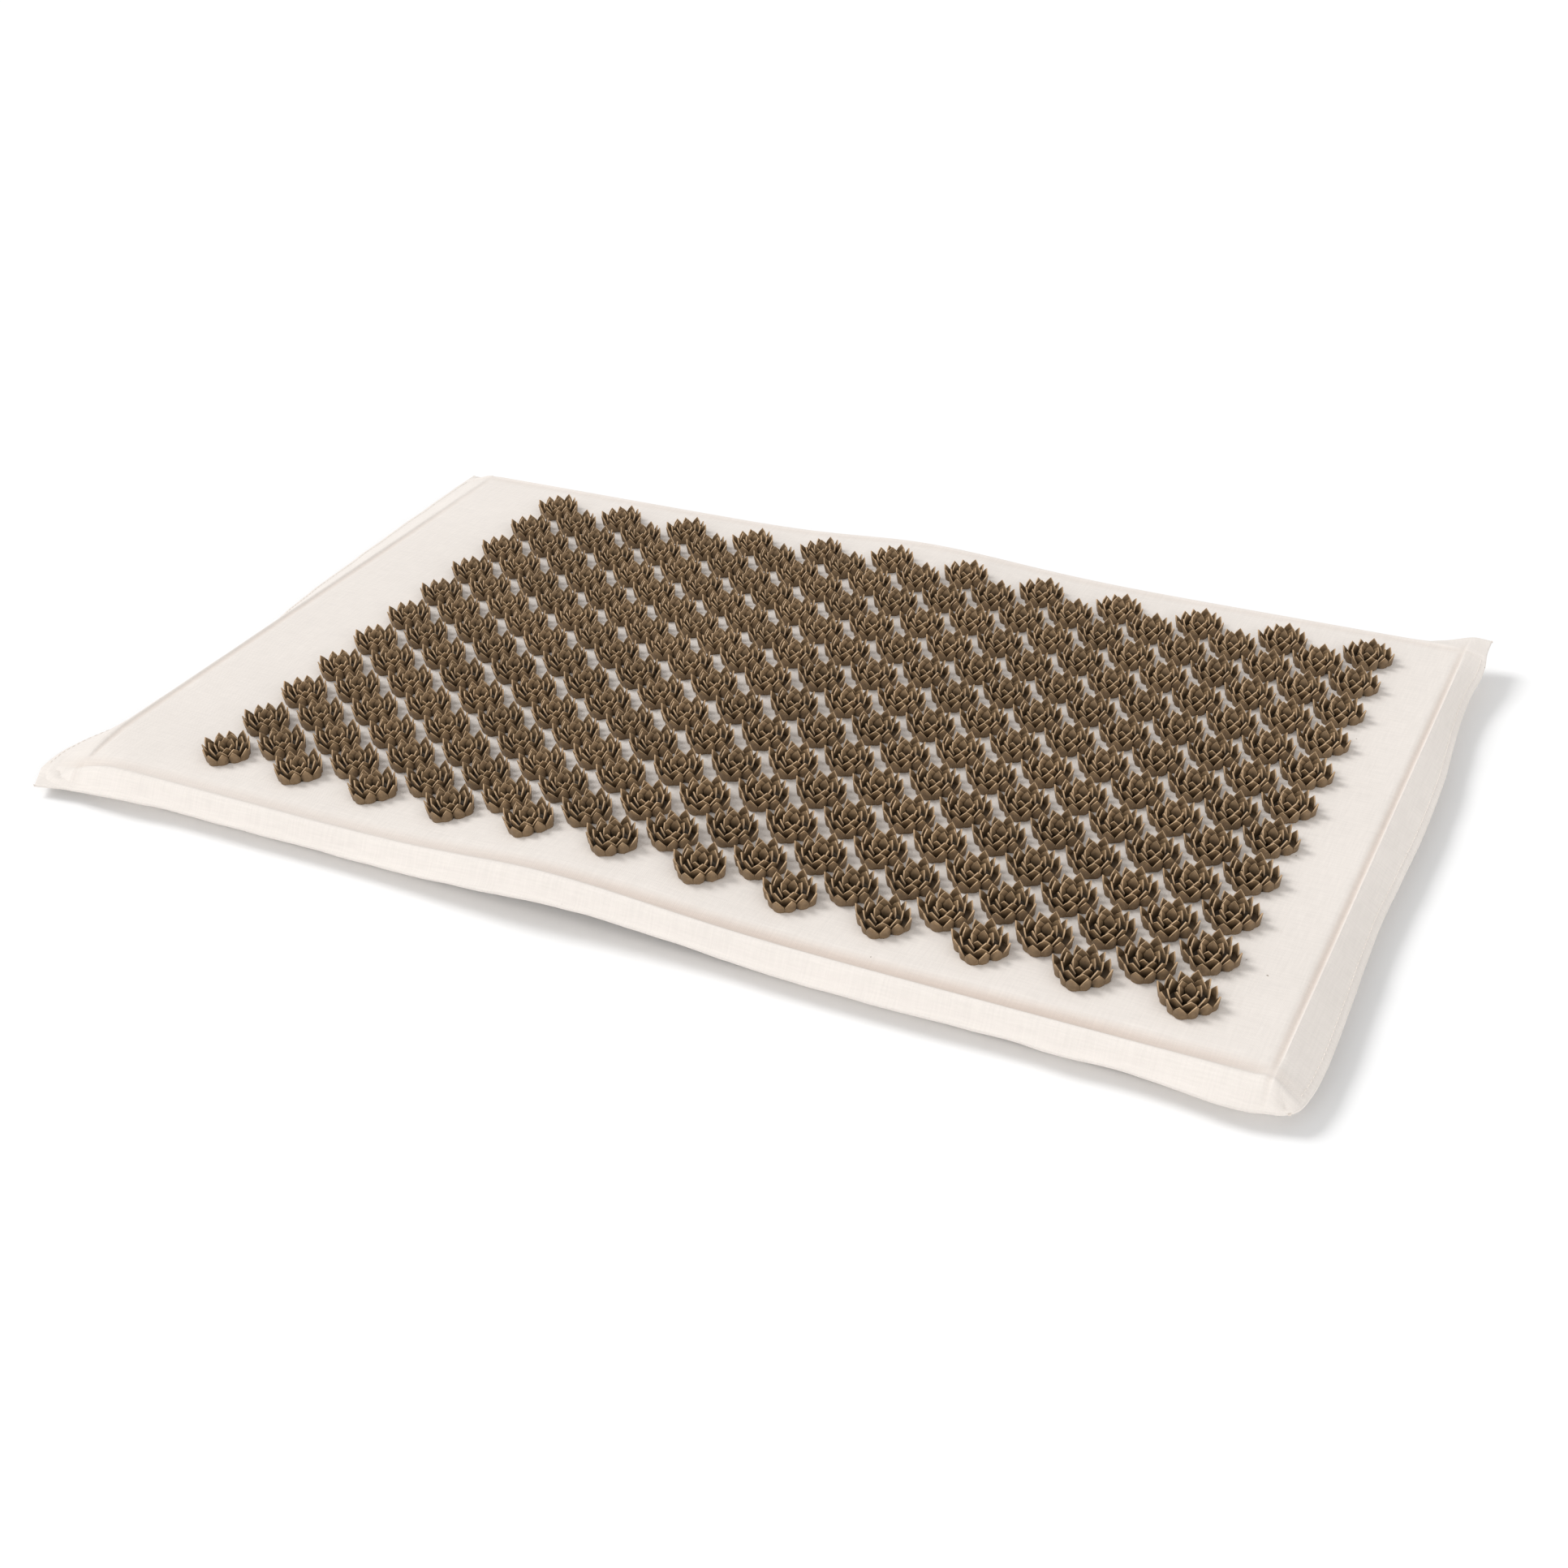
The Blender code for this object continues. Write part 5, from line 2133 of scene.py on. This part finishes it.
def refinish_frame() -> None:
    """Give the nodes that keep their CAD form a better finish."""
    nylon = Clouded("coil_nylon", (0.62, 0.57, 0.50), 0.4, scale=300, grain=3000)
    metal = Clouded("zip_brass", (0.55, 0.47, 0.33), 0.32, metallic=1.0, scale=250, grain=4000, depth=0.00001)
    finishes = {
        "zip_tape": WovenTape("cream_tape", (0.70, 0.64, 0.56)).make(),
        "zip_coil": nylon.make(),
    }
    metal_finish = metal.make()
    for name in ("zip_stop_left", "zip_stop_right", "zip_slider", "zip_pull_tab"):
        finishes[name] = metal_finish
    for name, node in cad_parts.items():
        for start, finish in finishes.items():
            if name.startswith(start):
                wear(node, finish)


def main() -> None:
    """Build every piece over the frame."""
    logging.basicConfig(level=logging.INFO, format="%(name)s: %(message)s")
    lamps = (
        Softbox("left", azimuth=178, elevation=43, spread=26, strength=1.75),
        Softbox("right", azimuth=338, elevation=16, spread=40, strength=0.95),
        Softbox("front", azimuth=250, elevation=16, spread=40, strength=0.60),
    )
    Studio(Camera(), lamps, sky=0.60).build()
    refinish_frame()
    relief = Relief(
        swells=(
            Swell((-0.0135, 0.0), left=0.072, right=0.087, reach=math.inf, height=0.0071, slant=0.063),
            Swell((-0.0205, -0.106), left=0.072, right=0.087, reach=0.065, height=0.0025, slant=0.063),
            Swell((-0.1055, 0.001), left=0.125, right=0.125, reach=0.055, height=0.0046),
        ),
        slumps=(Swell((-0.3700, -0.2230), left=0.024, right=0.024, reach=0.024, height=-0.0085),),
        folds=(
            Fold((-0.3780, -0.2215), (-0.3600, -0.2140), width=0.0028, height=-0.0014),
            Fold((-0.3600, -0.2140), (-0.3420, -0.2112), width=0.0030, height=-0.0010),
            Fold((-0.3610, -0.2170), (-0.3580, -0.1850), width=0.0028, height=-0.0010),
            Fold((-0.3600, -0.2090), (-0.3600, -0.2240), width=0.0030, height=0.0014),
            Fold((0.3570, -0.2100), (0.3560, -0.2200), width=0.0024, height=0.0008),
            Fold((0.3600, -0.2090), (0.3700, -0.2088), width=0.0024, height=0.0008),
        ),
        tips=(
            TipPull(1, -1, shift=(0.0, 0.0), roundness=1.0),
            TipPull(-1, -1, shift=(0.0055, -0.0030)),
        ),
    )
    FoamSlab(relief).build()
    cover = Cover(CoverForm(), relief)
    cover.build()
    Stitching(cover).build()
    LotusRows(Field()).build(cover.lift)


if __name__ == "__main__":
    main()
